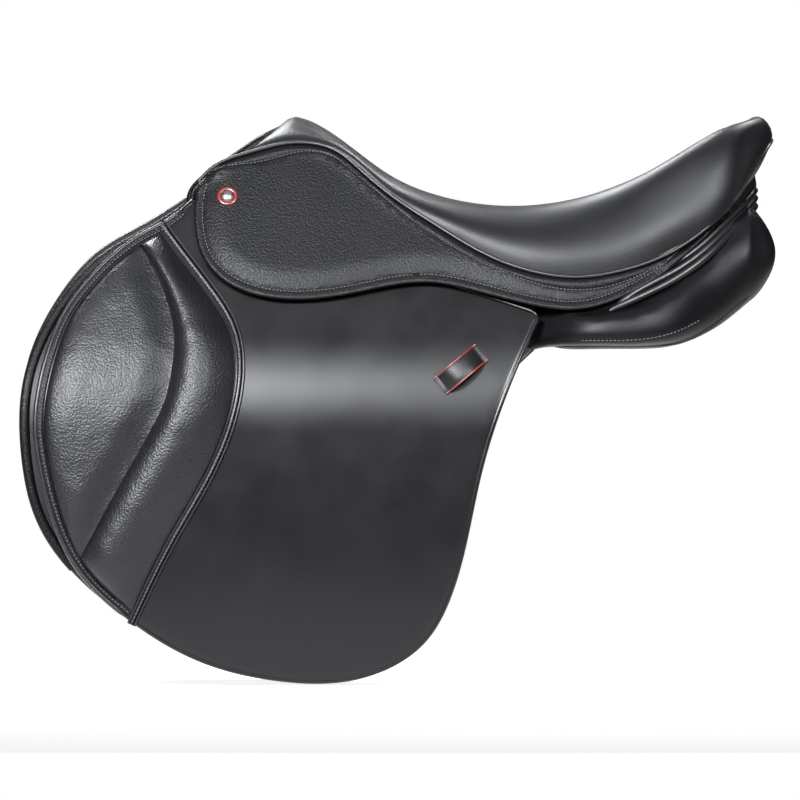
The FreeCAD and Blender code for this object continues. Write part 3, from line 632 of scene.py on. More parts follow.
def build_flap():
    """The flap, its bound and piped front edge, and its nailed-down top."""
    edge = curve(FLAP_EDGE, 3.0)
    gap = 0.25
    notch = [(x, fold_height(x) - drop) for x, drop in
             ((40, gap), (40, 14), (74, 30), (172, 30), (172, gap))]
    top = line([FOLD_REAR, *notch, FOLD_FRONT], 3.0)
    outline = np.vstack([edge, top[1:-1]])
    base_front, back = leather(*FLAP_PLY)

    def front(points, inset):
        crease = 0.32 * np.exp(-((inset - 3.4) / 0.55) ** 2)
        return base_front(points, inset) - crease

    mesh = sheet(outline, front, back, rounded=[edge], spacing=5.5,
                 rings=(0.4, 1.1, 2.0, 2.9, 3.4, 3.9, 5.0))
    pair("flap", mesh, SMOOTH, "flap_body", ["flap"])

    front_edge = edge[nearest(edge, (214, 109)):nearest(edge, (254, -231))]
    piping = ply_tube(shifted(front_edge, -1.4), 3.6, 2.0)
    binding = ply_band(front_edge, [(2.6, 3.9), (2.9, 4.7), (4.0, 5.0), (6.6, 5.0),
                                    (7.6, 4.6), (8.0, 3.9)])
    pair("flap_piping", piping, PIPING, "flap_body")
    pair("flap_binding", binding, GRAINED, "flap_body")
    row = ply_stitches(shifted(front_edge, -5.4), 5.2, pitch=3.2, length=2.2, radius=0.5)
    pair("flap_front_stitches", row, THREAD, "flap_body")

    strip = line([(198, fold_height(198) + gap), (192, 130), (150, 126), (60, 92),
                  (-60, 50), (-80, fold_height(-80) + gap),
                  (198, fold_height(198) + gap)], 4.0)[:-1]
    pair("flap_top", sheet(strip, *leather(*FLAP_PLY), spacing=9.0), SMOOTH, CENTRE,
         ["flap_top"])


def ripple(points, amount, seed):
    """Slight unevenness of stuffed leather."""
    return amount * np.array([noise.noise(Vector((x * 0.07, z * 0.07, seed)))
                              + 0.4 * noise.noise(Vector((x * 0.21, z * 0.21, seed)))
                              for x, z in points])


def build_knee_block():
    """The pad and the roll behind it, stuffed under one grained leather."""
    edge = curve(FLAP_EDGE, 2.2)
    rim = shifted(edge, -8.3)
    seam = shifted(curve(PAD_SEAM, 2.2), 4.2)
    seam = seam[distance_to(edge, seam) > 8.6]
    top = nearest(rim, seam[0])
    bottom = nearest(rim, seam[-1])
    block = np.vstack([rim[top:bottom + 1], seam[::-1]])
    crease = curve(CREASE, 2.2)
    crease = crease[inside(block, crease)]
    crease = crease[distance_to(block, crease, True) > 0.8]
    high = nearest(rim, crease[0])
    low = nearest(rim, crease[-1])
    pad = np.vstack([rim[high:low + 1], crease[::-1]])
    roll = np.vstack([rim[top:high + 1], crease, rim[low:bottom + 1], seam[::-1]])

    def pad_front(points, _):
        near_rim = distance_to(rim, points)
        near_crease = distance_to(crease, points)
        rise = round_edge(near_rim, 27.0) ** 0.85
        valley = 0.26 + 0.74 * smoothstep(near_crease / 27.0)
        seam_dip = 1 - 0.5 * np.exp(-(near_rim / 1.2) ** 2)
        return 4.5 + 8.6 * rise * valley * seam_dip + ripple(points, 0.45, 3.0) * rise

    def roll_front(points, _):
        near_rim = distance_to(rim, points)
        near_crease = distance_to(crease, points)
        near_seam = distance_to(seam, points)
        across = near_crease / (near_crease + near_seam + 1e-6)
        ends = round_edge(near_rim, 26.0) ** 0.8
        shape = np.sin(math.pi * np.clip(across, 0, 1) ** 0.72) ** 0.85
        lift = 1.6 * (1 - across) * ends
        return 4.5 + lift + 14.8 * shape * ends + ripple(points, 0.5, 9.0) * shape * ends

    def back(points, inset):
        return 4.1 - 0.4 * round_edge(inset, 2.0)

    rings = (0.3, 0.9, 1.8, 3.0, 4.6, 6.6, 9.2, 12.4)
    for name, outline, front, fill in (("knee_pad", pad, pad_front, 0.85),
                                       ("knee_roll", roll, roll_front, 0.95)):
        mesh = sheet(outline, front, back, spacing=4.0, rings=rings)
        pair(name, mesh, PADDED, "flap_body", [name], sharp=70)

    seam = curve(PAD_SEAM, 2.5)
    profile = [(-3.9, 3.9), (-3.8, 4.9), (-3.1, 5.4), (-2.3, 5.2), (-1.9, 4.4),
               (-1.4, 5.0), (-0.4, 5.4), (0.6, 5.3), (1.1, 4.4), (1.6, 5.6),
               (2.4, 6.5), (3.4, 6.5), (4.1, 5.4), (4.0, 3.9)]
    pair("pad_welt", ply_band(seam, profile), PIPING, "flap_body",
         ["pad_welt"])
    pair("pad_welt_stitches", ply_stitches(seam, 5.65, pitch=3.2, length=2.2, radius=0.5),
         THREAD, "flap_body")


def build_keeper():
    """The strap loop on the flap: an arched strip with painted edges."""
    centre, turn = np.array((-17.0, -24.0)), math.radians(140.5)
    along = np.array((math.cos(turn), math.sin(turn)))
    across = np.array((-along[1], along[0]))
    reach = np.linspace(-22.0, 22.0, 45)
    lift = 8.0 * (1 - np.clip(np.abs(reach) / 18.5, 0, 1) ** 2.4)
    outer = 6.0 + lift
    section = ((-8.0, -1.0), (-7.7, -0.25), (-7.0, 0.0), (-3.0, 0.12), (3.0, 0.12),
               (7.0, 0.0), (7.7, -0.25), (8.0, -1.0), (7.7, -1.75), (-7.7, -1.75))
    rings = []
    for distance, height in zip(reach, outer):
        flat = np.array([centre + along * distance + across * s for s, _ in section])
        rings.append(on_ply(flat, np.array([height + n for _, n in section])))
    pair("strap_keeper", loft(np.array(rings)), BRIDLE, "flap_body",
         ["strap_keeper"])
    edges = []
    for s in (-8.0, 8.0):
        flat = centre + along * reach[:, None] + across * s
        path = on_ply(flat, outer - 0.95)
        edges.append(sweep(path, ply_normals(flat), circle(0.95, 8)))
    pair("keeper_edges", merge(edges), EDGE_PAINT, "flap_body")
    rows = []
    for distance in (-20.5, 20.5):
        flat = centre + along * distance + across * np.linspace(-6.5, 6.5, 8)[:, None]
        rows.append(ply_stitches(flat, 6.15, pitch=2.4, length=1.7, radius=0.35))
    pair("keeper_stitches", merge(rows), THREAD, "flap_body")


# ------------------------------------------------------------------- skirt

def build_skirt():
    """The skirt, split at the fold line, and the welt along its top."""
    edge = curve(SKIRT_EDGE)
    welt = shifted(curve(WELT_LINE), 1.4)
    seam = curve(SKIRT_SEAM, 2.0)
    half = SKIRT_THICKNESS / 2

    def outer_face(points):
        inset = distance_to(edge, points)
        return SKIRT_OUTER - 4.6 * (1 - smoothstep(inset / 26.0))

    def rounding(points):
        inset = np.minimum(distance_to(edge, points), distance_to(welt, points))
        return round_edge(inset, 1.7)

    def front(points, _):
        inset, below = distance_to(edge, points), distance_to(welt, points)
        relief = 1.0 * np.exp(-((below - 4.6) / 2.8) ** 2)
        relief -= 0.75 * np.exp(-(distance_to(seam, points) / 0.8) ** 2)
        relief -= 0.55 * np.exp(-((inset - 7.0) / 0.8) ** 2)
        relief += 0.55 * np.exp(-((inset - 2.6) / 1.8) ** 2)
        return outer_face(points) - half + (half + relief) * rounding(points) + 0.08

    def back(points, _):
        return outer_face(points) - half - half * rounding(points) - 0.08

    crossings = np.flatnonzero(np.diff(above_fold(edge).astype(int)))
    i, j = crossings[0], crossings[-1]
    first, second = at_fold(edge, i), at_fold(edge, j)
    fold = line([first, second], 2.5)
    lower = np.vstack([[first], edge[i + 1:j + 1], fold[::-1][:-1]])
    upper = np.vstack([edge[:i + 1], fold, edge[j + 1:], welt[::-1][:-1]])
    rows = [shifted(edge, -7.0), seam]
    close = [shifted(chain, side) for chain in rows for side in (-0.9, 0.0, 0.9)]
    rings = (0.4, 1.0, 1.8, 2.8, 4.2)
    for name, outline, body in (("skirt_upper", upper, CENTRE),
                                ("skirt", lower, "skirt_body")):
        mesh = sheet(outline, front, back, rounded=[edge, welt], spacing=4.6,
                     rings=rings, extra=close)
        pair(name, mesh, GRAINED, body, [name], sharp=40)

    centre_rows, moving_rows = [], []
    for chain in rows:
        apart = np.minimum(distance_to(welt, chain), distance_to(edge, chain)) > 3.6
        for is_above, run in split_at_fold(chain[apart]):
            heights = front(run, None)
            row = stitches(on_ply(run, heights), ply_normals(run), pitch=3.1,
                           length=2.2, radius=0.48, sink=-0.2)
            (centre_rows if is_above else moving_rows).append(row)
    pair("skirt_upper_stitches", merge(centre_rows), THREAD, CENTRE)
    pair("skirt_stitches", merge(moving_rows), THREAD, "skirt_body")

    piping = ply_tube(curve(WELT_LINE), SKIRT_OUTER, 1.6)
    pair("seat_welt", piping, PIPING, CENTRE, ["seat_welt"])


def lathe(foot, normal, profile):
    """A turned shape of (radius, height) points on a surface."""
    sides = 32
    normal = np.array(normal) / np.linalg.norm(normal)
    first = np.cross(normal, (1.0, 0.0, 0.0))
    first /= np.linalg.norm(first)
    second = np.cross(normal, first)
    turn = np.linspace(0, 2 * math.pi, sides + 1)[:-1][:, None]
    around = first * np.cos(turn) + second * np.sin(turn)
    return loft(np.array([foot + around * r + normal * h for r, h in profile]))


def build_nail():
    """The saddle nail and its enamelled ring."""
    place = np.array([(175.0, 118.5)])
    foot, normal = on_ply(place, 15.9)[0], ply_normals(place)[0]
    ring = lathe(foot, normal, [(8.3, -0.3), (8.5, 0.5), (8.2, 1.1), (7.5, 1.4),
                                (6.2, 1.35), (5.6, 1.0), (5.4, 0.3)])
    dome = lathe(foot, normal, [(5.6, 0.0), (5.6, 0.9), (5.2, 1.5), (4.4, 2.1),
                                (3.2, 2.7), (1.8, 3.1), (0.5, 3.25)])
    pair("nail_ring", ring, ENAMEL, CENTRE, ["nail_ring"])
    pair("saddle_nail", dome, NAIL, CENTRE, ["saddle_nail"])


def build_sweat_flap():
    """The leather under the billets, with a padded binding round its front."""
    edge = curve(SWEAT_EDGE, 3.5)
    outline = np.vstack([edge, line(SWEAT_TOP, 4.0)[1:-1]])
    mesh = sheet(outline, *leather(*SWEAT_PLY), rounded=[edge], spacing=9.0)
    pair("sweat_flap", mesh, BRIDLE, CENTRE, ["sweat_flap"])
    last = nearest(edge, (300, -193))
    band = ply_band(edge[2:last], [(-0.6, -14.5), (-1.2, -13.0), (-0.9, -11.6),
                                   (0.4, -10.4), (2.6, -9.8), (5.2, -10.2),
                                   (7.0, -11.2), (7.6, -12.2), (7.0, -14.0),
                                   (2.0, -15.6)])
    pair("sweat_flap_binding", band, GRAINED, CENTRE)
    row = ply_stitches(shifted(edge, -6.0)[4:-4], -11.95, pitch=4.0, length=2.8, sink=0.32)
    pair("sweat_flap_stitches", row, THREAD, CENTRE)


# -------------------------------------------------------------------- seat

SEAT_SPOKES = (
    ((158, 61, 155.5), (155, 59, 158), (151, 56, 161.5), (145, 50, 166.5),
     (138, 41, 172), (132, 28, 178), (127.5, 14, 182), (126, 0, 183.6)),
    ((125, 57.5, 163), (124, 55.5, 166), (123, 53, 169), (121, 47, 173),
     (119, 38, 177.6), (116, 26, 181.6), (114.5, 13, 184.3), (113, 0, 185.2)),
    ((88, 59.6, 158), (88, 58.5, 160.7), (88, 56, 162.9), (88, 50, 165.2),
     (88, 41, 168.0), (88, 27, 170.3), (88, 13, 171.5), (88, 0, 171.8)),
    ((41, 79.8, 120), (41, 78.6, 123.8), (41, 75.5, 127.3), (41, 67, 131.3),
     (41, 55, 134), (41, 37, 136), (41, 18, 136.7), (41, 0, 136.8)),
    ((-5, 95.8, 90.5), (-5, 94.8, 97), (-5, 91.3, 103), (-5, 82, 110.2),
     (-5, 68, 115.3), (-5, 46, 118.1), (-5, 23, 118), (-5, 0, 117.4)),
    ((-50, 108.5, 66), (-50, 107.3, 77), (-50, 102.5, 87.5), (-50, 91, 99.5),
     (-50, 75, 108.3), (-50, 50, 111.3), (-50, 25, 109), (-50, 0, 108)),
    ((-110, 115.8, 52.5), (-110, 114.6, 68), (-110, 108, 84), (-110, 95, 101),
     (-110, 80, 112.5), (-110, 56, 116.5), (-110, 28, 110.5), (-110, 0, 108)),
    ((-160, 110.9, 61.5), (-161, 109.8, 79), (-161, 103.5, 98), (-161, 93, 117),
     (-160, 80, 130), (-158, 60, 132.5), (-154, 30, 118), (-150, 0, 113)),
    ((-205, 99.5, 83), (-207, 98.8, 102), (-207, 93.5, 123), (-206, 85, 142.5),
     (-203, 73, 155.5), (-199, 58, 155), (-189, 30, 131), (-178, 0, 119.5)),
    ((-239, 85.7, 108), (-243, 85, 123), (-244, 80.5, 143), (-242, 73, 162.5),
     (-236, 62, 174.5), (-229, 50, 172.5), (-213, 27, 147), (-195, 0, 126)),
    ((-252, 58, 126), (-258, 57.5, 137), (-263, 55, 150), (-264, 50, 165.5),
     (-255, 45, 181.6), (-244, 38, 176.6), (-225, 22, 152), (-203, 0, 131)),
    ((-258, 30, 132.5), (-265, 29.5, 144), (-270.5, 28.5, 156), (-273.5, 26.5, 169.5),
     (-264, 24, 184.8), (-249, 21, 176.5), (-229, 12, 152), (-205, 0, 133)),
    ((-259.5, 0, 134), (-266.5, 0, 145.5), (-272.5, 0, 158), (-276, 0, 171),
     (-264.5, 0, 186), (-248, 0, 175.5), (-228, 0, 151.5), (-206, 0, 133.5)),
)


def chain_height(chain, x):
    """Level of a chain at each place along X."""
    chain = sorted(chain)
    return np.interp(x, [p[0] for p in chain], [p[1] for p in chain])


def weld(mesh):
    """The mesh with vertices that coincide made one."""
    distance = 0.03
    verts, faces = mesh
    keys = {}
    place = []
    kept = []
    for vert in verts:
        key = tuple(np.round(vert / distance).astype(int))
        if key not in keys:
            keys[key] = len(kept)
            kept.append(vert)
        place.append(keys[key])
    joined = []
    for face in faces:
        ring = [place[i] for i in face]
        ring = [i for k, i in enumerate(ring) if i != ring[k - 1]]
        if len(set(ring)) > 2:
            joined.append(tuple(ring))
    return np.array(kept), joined


def relaxed(mesh, chosen, rounds):
    """Chosen vertices moved towards the mean of their neighbours."""
    verts, faces = mesh
    links = [set() for _ in verts]
    for face in faces:
        for a, b in zip(face, face[1:] + face[:1]):
            links[a].add(b)
            links[b].add(a)
    indices = [i for i in np.flatnonzero(chosen) if links[i]]
    for _ in range(rounds):
        moved = verts.copy()
        for i in indices:
            moved[i] = 0.5 * verts[i] + 0.5 * verts[list(links[i])].mean(0)
        verts = moved
    return verts, faces


def build_seat():
    """The seat leather, lofted over spokes that run in from its rim."""
    spokes = np.array(SEAT_SPOKES, float)
    loop = both_sides(spokes)
    rows, columns = 30, 181
    rings = []
    for spoke in loop:
        knots = chord(spoke)
        at = knots[-1] * np.linspace(0, 1, rows) ** 1.15
        rings.append(natural_spline(knots, spoke, at))
    rings = np.array(rings)
    knots = chord(loop[:, 0])
    middle = knots[len(spokes) - 1]
    at = np.concatenate([np.linspace(0, middle, columns // 2 + 1),
                         np.linspace(middle, knots[-1], columns // 2 + 1)[1:]])
    grid = np.stack([natural_spline(knots, rings[:, r], at) for r in range(rows)], axis=1)
    grid[:, -1, 1] = 0.0
    floor = np.stack([grid[:, -1, 0], 0 * at,
                      chain_height(WELT_LINE, grid[:, -1, 0]) + 2.0], axis=1)
    rim = grid[:, 0]
    inner = rim + 0.1 * (floor - rim)
    grid = np.concatenate([floor[:, None], inner[:, None], grid], axis=1)
    count, deep = grid.shape[:2]
    faces = [(i * deep + k, (i + 1) * deep + k, (i + 1) * deep + k + 1, i * deep + k + 1)
             for i in range(count - 1) for k in range(deep - 1)]
    last = (count - 1) * deep
    front = list(range(deep)) + [last + k for k in range(deep - 2, 0, -1)]
    faces.append(tuple(front))
    spoke_at = np.interp(at, knots, np.arange(len(knots)))
    from_middle = np.abs(spoke_at - (len(spokes) - 1))
    chosen = np.flatnonzero(from_middle < 3.0)
    row = 2.0 + np.interp(from_middle[chosen], [0, 1, 2, 3], [9.0, 8.0, 5.2, 1.0])
    low, part = row.astype(int), row % 1
    path = grid[chosen, low] * (1 - part)[:, None] + grid[chosen, low + 1] * part[:, None]
    along = grid[chosen, low + 1] - grid[chosen, low]
    outward = np.cross(np.gradient(path, axis=0), along)
    outward *= np.sign((outward * (path - (-190.0, 0.0, 130.0))).sum(1))[:, None]
    piping = sweep(path, outward, tapered(circle(1.4, 10), len(path)))
    piece("cantle_piping", piping, PIPING, CENTRE)
    verts = grid.reshape(-1, 3)
    mesh = weld((verts, faces))
    verts = mesh[0]
    height = verts[:, 2] - chain_height(WELT_LINE, np.clip(verts[:, 0], -239, 199))
    chosen = (np.abs(verts[:, 1]) < 48) & (verts[:, 0] < 118) & (verts[:, 0] > -236) \
        & (height > 6)
    mesh = relaxed(mesh, chosen, 14)
    piece("seat", mesh, SEAT, CENTRE,
          ["seat_cover", "seat_foam"], sharp=60)


def build_pommel():
    """The leather strip that faces the front of the pommel arch."""
    face = curve([(200, 106), (205, 116), (185, 140.5), (160, 158), (140, 171),
                  (130, 176)], 3.0)
    depth = np.interp(face[:, 1], [106, 130, 145], [-6.0, 4.0, 10.0])
    half = []
    for (x, z), n in zip(face, depth):
        side = float(ply_y(z, n))
        arch = 61 * math.sqrt(max(0.0, 1 - ((z - 146) / 32.5) ** 2))
        half.append((x, min(side, arch) if z > 146 else side, z))
    left = np.array(half + [(127.5, 15.0, 178.0), (127.0, 0.0, 178.6)])
    path = spaced(both_sides(left), 150)
    outward = np.stack([0 * path[:, 0] + 0.2, path[:, 1] / 60, np.full(150, 0.55)], axis=1)
    profile = [(-4.0, -9.0), (-4.4, -1.4), (-3.6, 0.8), (-1.8, 1.9), (-0.6, 2.0),
               (0.0, 1.0), (0.6, 2.0), (1.8, 1.9), (3.4, 0.8), (4.2, -1.4),
               (3.8, -9.0)]
    mesh = sweep(path, outward, tapered(profile, len(path), 3, 0.5))
    piece("pommel_facing", mesh, GRAINED, CENTRE, ["pommel_facing"])


def build_cantle():
    """Gathered facing behind the cantle, and the rolls that run down from it."""
    count = 260
    full = both_sides(np.array([(-232, 81, 101), (-243, 68, 111), (-252, 49, 119),
                                (-258, 25, 124), (-260, 0, 126)], float))
    path = spaced(full, count)
    outward = path - np.array((-190.0, 0.0, 0.0))
    outward[:, 2] = 0
    base = np.array([(-11, -2), (-10.4, 0.6), (-5, 1.6), (0, 2.0), (5, 1.8), (11, 1.0),
                     (15, 0), (14, -6), (-10, -6)], float)
    gathered = np.array([0, 0.5, 1, 1, 1, 0.7, 0, 0, 0])
    run = np.linspace(0, chord(full)[-1], count)
    waves = 0.7 * np.sin(run * 2 * math.pi / 5.2) + 0.4 * np.sin(run * 2 * math.pi / 8.9)
    profile = np.repeat(base[None], count, axis=0)
    profile[:, :, 1] += waves[:, None] * gathered
    piece("cantle_facing", sweep(path, outward, tapered_rows(profile)), PANEL, CENTRE,
          ["cantle_facing"])

    for number, (rise, out, radius) in enumerate(((0, 9.5, 3.2), (6.6, 9.0, 3.1),
                                                  (13.0, 8.5, 2.9)), start=1):
        low = [(-134 - 5 * number, 24 + rise * 0.5), (-160, 33.5 + rise * 0.8),
               (-193, 50 + rise), (-222, 71 + rise)]
        side = [(x, float(ply_y(z, out)), z) for x, z in low]
        rear = [(-244, 76 - rise * 0.4, 93 + rise), (-255, 55 - rise * 0.4, 104 + rise),
                (-260, 28, 110 + rise), (-261.5, 0, 112 + rise)]
        path = spaced(both_sides(np.array(side + rear, float)), 220)
        outward = path - np.array((-150.0, 0.0, 20.0))
        mesh = sweep(path, outward, tapered(circle(radius, 12, 0.85), len(path), 6, 0.25))
        piece(f"cantle_roll_{number}", mesh, PIPING, CENTRE)


def tapered_rows(profiles):
    """A row of profiles made smaller towards both ends."""
    ends, least = 4, 0.4
    scale = np.ones(len(profiles))
    scale[:ends] = np.linspace(least, 1, ends + 1)[:-1]
    scale[-ends:] = scale[:ends][::-1]
    return profiles * scale[:, None, None]


# ------------------------------------------------------------------ panels

PANEL_SECTIONS = (
    (-255, (34, 108), (32, 84), (34, 56), (48, 40), (68, 32), (82, 36), (90, 46),
     (93, 60), (90, 80), (76, 103), (62, 110), (45, 112)),
    (-229, (34, 90), (33, 62), (36, 36), (58, 22), (84, 12), (97, 14), (105, 24),
     (106, 38), (102, 58), (91, 82), (80, 90), (55, 93)),
    (-190, (34, 62), (33, 42), (37, 25), (66, 13), (98, 0), (115, -3), (127, 3),
     (129, 16), (122, 36), (106, 57), (95, 62), (60, 66)),
    (-150, (34, 46), (33, 36), (37, 23), (66, 11), (98, -1), (120, -5), (133, -2),
     (136, 8), (131, 24), (123, 36), (110, 41), (70, 45)),
    (-112, (34, 50), (33, 38), (37, 23), (66, 11), (98, -2), (116, -5), (127, -2),
     (130, 6), (126, 17), (119, 27), (106, 33), (70, 44)),
    (-78, (34, 60), (34, 42), (42, 27), (66, 13), (90, 0), (100, -7), (108, -6),
     (109, 4), (104, 18), (96, 34), (80, 48), (55, 58)),
    (-30, (46, 62), (50, 48), (62, 28), (77, 2), (92, -24), (104, -33), (115, -28),
     (111, -8), (102, 4), (91, 26), (80, 46), (66, 60)),
    (20, (38, 84), (46, 62), (60, 36), (78, 4), (91, -24), (98, -44), (106, -53),
     (119, -46), (116, -22), (105, 0), (87, 36), (64, 76)),
    (80, (20, 116), (34, 84), (52, 50), (72, 12), (88, -18), (98, -46), (107, -59),
     (120, -52), (117, -26), (104, -2), (81, 46), (44, 112)),
    (130, (20, 116), (34, 84), (52, 50), (72, 12), (88, -18), (97, -42), (106, -54),
     (119, -48), (116, -24), (104, -2), (81, 46), (44, 112)),
    (165, (24, 110), (34, 84), (52, 50), (72, 12), (86, -12), (94, -28), (102, -37),
     (114, -32), (111, -14), (102, 2), (81, 46), (50, 104)),
    (188, (36, 96), (42, 80), (52, 62), (62, 44), (70, 32), (78, 26), (84, 28),
     (87, 36), (82, 46), (74, 62), (65, 80), (54, 96)),
)


def under_skirt(x, z):
    """How far out a panel may reach beneath the skirt and the rolled strips."""
    hem = np.interp(x, [-262, -222, -193, -160, -116, -83, 0],
                    [106, 66, 45, 29, 22, 22, 22])
    return ply_y(z, 5.5 + 1.3 * np.maximum(0.0, hem - z)) + 40.0 * smoothstep((x + 60) / 40)


def build_panels():
    """Two flocked cushions under the tree, with a piped seam and stitches."""
    stations = np.array([row[0] for row in PANEL_SECTIONS], float)
    per_side = 4
    loops = []
    for row in PANEL_SECTIONS:
        loop = np.array(row[1:], float)
        wrapped = np.vstack([loop[-3:], loop, loop[:4]])
        knots = np.arange(len(wrapped), dtype=float)
        at = 3 + np.arange(len(loop) * per_side) / per_side
        loops.append(natural_spline(knots, wrapped, at))
    loops = np.array(loops)
    xs = np.linspace(stations[0], stations[-1], 150)
    rings = np.stack([natural_spline(stations, loops[:, k], xs)
                      for k in range(loops.shape[1])], axis=1)
    rings = np.concatenate([np.broadcast_to(xs[:, None, None],
                                            (len(xs), rings.shape[1], 1)), rings], axis=2)
    ends = []
    for ring, forward, depth in ((rings[0], -1, 22.0), (rings[-1], 1, 6.0)):
        middle = ring.mean(0)
        closing = []
        for a in np.radians((6, 13, 21, 30, 40, 50, 60, 70, 78, 85)):
            scale = math.cos(a) * (1 - 0.35 * math.sin(a))
            closing.append(middle + (ring - middle) * (1, scale, scale)
                           + (forward * depth * math.sin(a), 0, 0))
        ends.append(closing[::-1] if forward < 0 else closing)
    full = np.concatenate([np.array(ends[0]), rings, np.array(ends[1])])
    bumps = np.array([[noise.noise(Vector(p * 0.03)) for p in ring] for ring in full])
    middle = full.mean(1, keepdims=True)
    away = full - middle
    away /= np.linalg.norm(away, axis=2, keepdims=True)
    full = full + away * bumps[:, :, None] * 0.9
    full[:, :, 1] = np.minimum(full[:, :, 1], under_skirt(full[:, :, 0], full[:, :, 2]))
    skin = full[len(ends[0]):len(ends[0]) + len(xs)]
    pair("panel", loft(full), PANEL, CENTRE, ["panel", "rear_gusset"])

    rear = xs < -96
    for name, corner, radius in (("outer", 5 * per_side, 1.5), ("inner", 2 * per_side, 1.3)):
        reach = rear if name == "outer" else xs < 150
        path = skin[reach][:, corner]
        outward = path - skin[reach].mean(1)
        mesh = sweep(path, outward, tapered(circle(radius, 8), len(path)))
        pair(f"panel_piping_{name}", mesh, PIPING, CENTRE)
    sewn = (xs < -112) & (xs > -216)
    path = skin[sewn][:, 6 * per_side + 1]
    outward = path - skin[sewn].mean(1)
    outward /= np.linalg.norm(outward, axis=1)[:, None]
    pair("panel_stitches", stitches(path, outward, pitch=3.4, radius=0.5), THREAD, CENTRE)


def cross_strip(name, xs, drop, thick, half, material, nodes, sag=1.5):
    """A strip that spans the tree from side to side under the seat."""
    rings = []
    for x in xs:
        z = float(chain_height(WELT_LINE, x)) - drop
        wide = min(half, float(ply_y(z, -18.2)) - 0.5)
        ys = np.linspace(-wide, wide, 13)
        vault = z - sag * (ys / wide) ** 2
        top = np.stack([np.full(13, x), ys, vault], axis=1)
        under = top - (0, 0, thick)
        rings.append(np.vstack([top, under[::-1]]))
    piece(name, loft(np.array(rings)), material, CENTRE, nodes)
    rows = []
    for side in (-1, 1):
        path = np.array([ring[13 if side > 0 else 25] + (0, -side * 3.0, 0.0)
                         for ring in rings])
        rows.append(stitches(path, np.tile((0.0, 0.0, -1.0), (len(path), 1)), pitch=3.8))
    piece(name + "_stitches", merge(rows), THREAD, CENTRE)


def build_billets():
    """The three girth billets, with their holes and edge stitching."""
    half, top, foot = 12.5, 36, -243
    for name, x in (("front", 105.0), ("middle", 70.0), ("rear", 35.0)):
        tip = [(x - half + half * (1 - math.cos(a)), foot - half * math.sin(a))
               for a in np.linspace(0, math.pi, 13)]
        outline = np.vstack([line([(x + half, foot), (x + half, top), (x - half, top),
                                   (x - half, foot)], 4.0), np.array(tip)[1:-1]])
        holes = [((x, -112.0 - 25.0 * i), 2.5) for i in range(6)]
        mesh = sheet(outline, *leather(*BILLET_PLY, 1.3), holes=holes, spacing=5.0,
                     rings=(0.4, 1.2, 2.6), bowed=False)
        pair(f"billet_{name}", mesh, BRIDLE, f"billet_{name}_body",
             [f"billet_{name}"])
        rows = [ply_stitches(line([(x + s, 12), (x + s, -238)], 4.0), BILLET_PLY[1], False,
                             pitch=4.2, length=2.9) for s in (-10.3, 10.3)]
        pair(f"billet_{name}_stitches", merge(rows), THREAD, f"billet_{name}_body")


def build_webs():
    """The girth webs that the billets hang from."""
    strap = line([(20, 15), (120, 15), (120, 60), (20, 41), (20, 15)], 4.0)[:-1]
    anchor = line([(20, 39.5), (112, 39.5), (112, 74), (20, 59), (20, 39.5)], 4.0)[:-1]
    mesh = merge([sheet(strap, *leather(-3.0, -1.5, 0.7), spacing=8.0, rings=(0.4, 1.2)),
                  sheet(anchor, *leather(-9.9, -3.0, 1.0), spacing=8.0, rings=(0.4, 1.2))])
    pair("girth_web", mesh, BLACK_WEB, CENTRE, ["girth_web"])
    rows = [ply_stitches(line([(22, z), (118, z)], 4.0), -1.45, pitch=4.2, length=2.9)
            for z in (18, 21, 33, 36)]
    pair("girth_web_stitches", merge(rows), THREAD, CENTRE)


def build_guard():
    """The buckle guard: two leathers sewn together between the billets."""
    columns = (18.4, 52.5, 87.5, 121.6)

    def face(level, pinched, rounded):
        def height(points, inset):
            pinch = sum(np.exp(-((points[:, 0] - c) / 2.3) ** 2) for c in columns)
            return level + pinched * pinch + rounded * (1 - round_edge(inset, 1.0))
        return height

    block = line([(16, -108), (124, -108), (124, -76), (16, -76), (16, -108)], 2.0)[:-1]
    layers = ((face(-1.3, -4.0, -0.8), face(-3.3, -3.0, 0.6)),
              (face(-9.7, 2.9, -0.6), face(-11.3, 2.6, 0.6)))
    mesh = merge([sheet(block, front, back, spacing=2.6, rings=(0.4, 1.1), bowed=False)
                  for front, back in layers])
    pair("buckle_guard", mesh, BRIDLE, "guard_body", ["buckle_guard"])
    rows = [ply_stitches(line([(x, -106), (x, -78)], 3.0), -5.3, False, pitch=3.2)
            for x in columns]
    pair("buckle_guard_stitches", merge(rows), THREAD, "guard_body")


def build_point_pocket():
    """A small leather pocket near the front of each side, behind the flap."""
    pocket = line([(184, 56), (186, 66), (151, 66), (151, 52), (184, 56)], 2.5)[:-1]
    pair("point_pocket", sheet(pocket, *leather(-9.6, -8.0, 0.7), rings=(0.4, 1.2)),
         BRIDLE, CENTRE, ["point_pocket"])


def build_underside():
    """The gullet lining and the webbing that carries the seat."""
    cross_strip("gullet_lining", np.linspace(150, -236, 90), 11.0, 2.0, 33.3, PANEL,
                ["gullet_lining"])
    cross_strip("seat_webbing", np.linspace(70, -200, 60), 0.9, 1.8, 200.0, WEBBING,
                ["seat_webbing"], sag=0.4)


build_flap()
build_knee_block()
build_keeper()
build_skirt()
build_nail()
build_sweat_flap()
build_seat()
build_pommel()
build_cantle()
build_panels()
build_billets()
build_webs()
build_guard()
build_point_pocket()
build_underside()


# -------------------------------------------------------- stage and camera

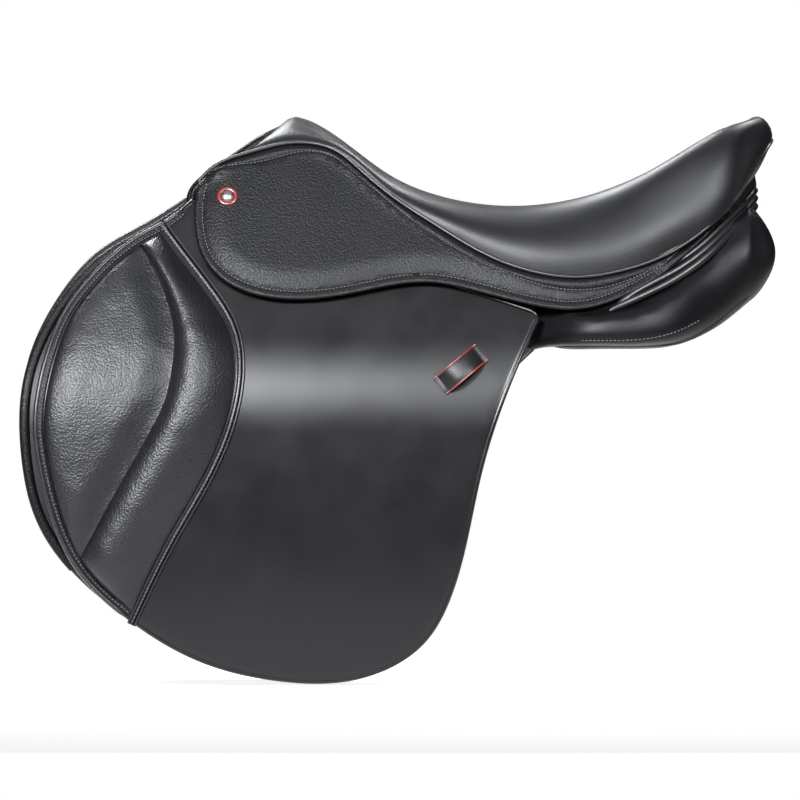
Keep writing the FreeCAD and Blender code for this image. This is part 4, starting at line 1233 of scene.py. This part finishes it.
def build_stage():
    """A plain pale round floor."""
    count, radius, level = 96, 2.4, -0.2836
    turn = np.linspace(0, 2 * math.pi, count + 1)[:-1]
    verts = [(radius * math.cos(a), radius * math.sin(a), level) for a in turn]
    data = bpy.data.meshes.new("floor")
    data.from_pydata(verts, [], [tuple(range(count))])
    material, shader = new_material("paper")
    put(shader, {"Base Color": (0.8, 0.8, 0.8, 1.0), "Roughness": 0.95,
                 "Specular IOR Level": 0.1, "Emission Color": (1.0, 1.0, 1.0, 1.0),
                 "Emission Strength": 0.8})
    data.materials.append(material)
    floor = bpy.data.objects.new("floor", data)
    bpy.context.scene.collection.objects.link(floor)


def softbox(name, place, target, width, height, watts, spread):
    """A cool white area light aimed at a point, its spread in degrees."""
    light = bpy.data.lights.new(name, "AREA")
    light.shape = "RECTANGLE"
    light.size = width
    light.size_y = height
    light.energy = watts
    light.color = (0.95, 0.97, 1.0)
    light.spread = math.radians(spread)
    obj = bpy.data.objects.new(name, light)
    bpy.context.scene.collection.objects.link(obj)
    obj.location = place
    aim = Vector(target) - Vector(place)
    obj.rotation_euler = aim.to_track_quat("-Z", "Y").to_euler()


build_stage()
# The right-hand lights stand higher and weaker, so that they don't glance off the
# saddle's outline into the camera.
for side, name, power, out, up in ((1, "left", 1.0, 1.75, 1.0),
                                   (-1, "right", 0.45, 1.25, 1.65)):
    softbox(f"key_{name}", (0.72, out * side, up), (0.2, 0.1 * side, 0.04),
            0.9, 0.6, 15 * power, 50)
    softbox(f"rear_{name}", (-0.75, out * side, up), (-0.14, 0.1 * side, 0.08),
            0.5, 0.5, 6 * power, 50)
softbox("overhead", (-0.1, 0.0, 2.4), (-0.1, 0.0, 0.0), 2.6, 2.6, 24, 180)
softbox("front_end", (2.3, 0.0, 0.7), (0.1, 0.0, 0.0), 1.5, 1.2, 3, 120)
softbox("rear_end", (-2.3, 0.0, 0.7), (-0.1, 0.0, 0.0), 1.5, 1.2, 3, 120)

world = bpy.data.worlds.new("studio")
world.use_nodes = True
world.node_tree.nodes["Background"].inputs["Color"].default_value = (1.0, 1.0, 1.0, 1.0)
world.node_tree.nodes["Background"].inputs["Strength"].default_value = 1.0
world.cycles_visibility.diffuse = False
world.cycles_visibility.glossy = False
bpy.context.scene.world = world
bpy.context.scene.view_settings.view_transform = "Standard"

camera_data = bpy.data.cameras.new("camera")
camera_data.lens = 651.0
camera_data.sensor_width = 36.0
camera = bpy.data.objects.new("camera", camera_data)
camera.location = (0.0328, 12.0, -0.0492)
camera.rotation_euler = (math.pi / 2, 0.0, math.pi)
bpy.context.scene.collection.objects.link(camera)
bpy.context.scene.camera = camera
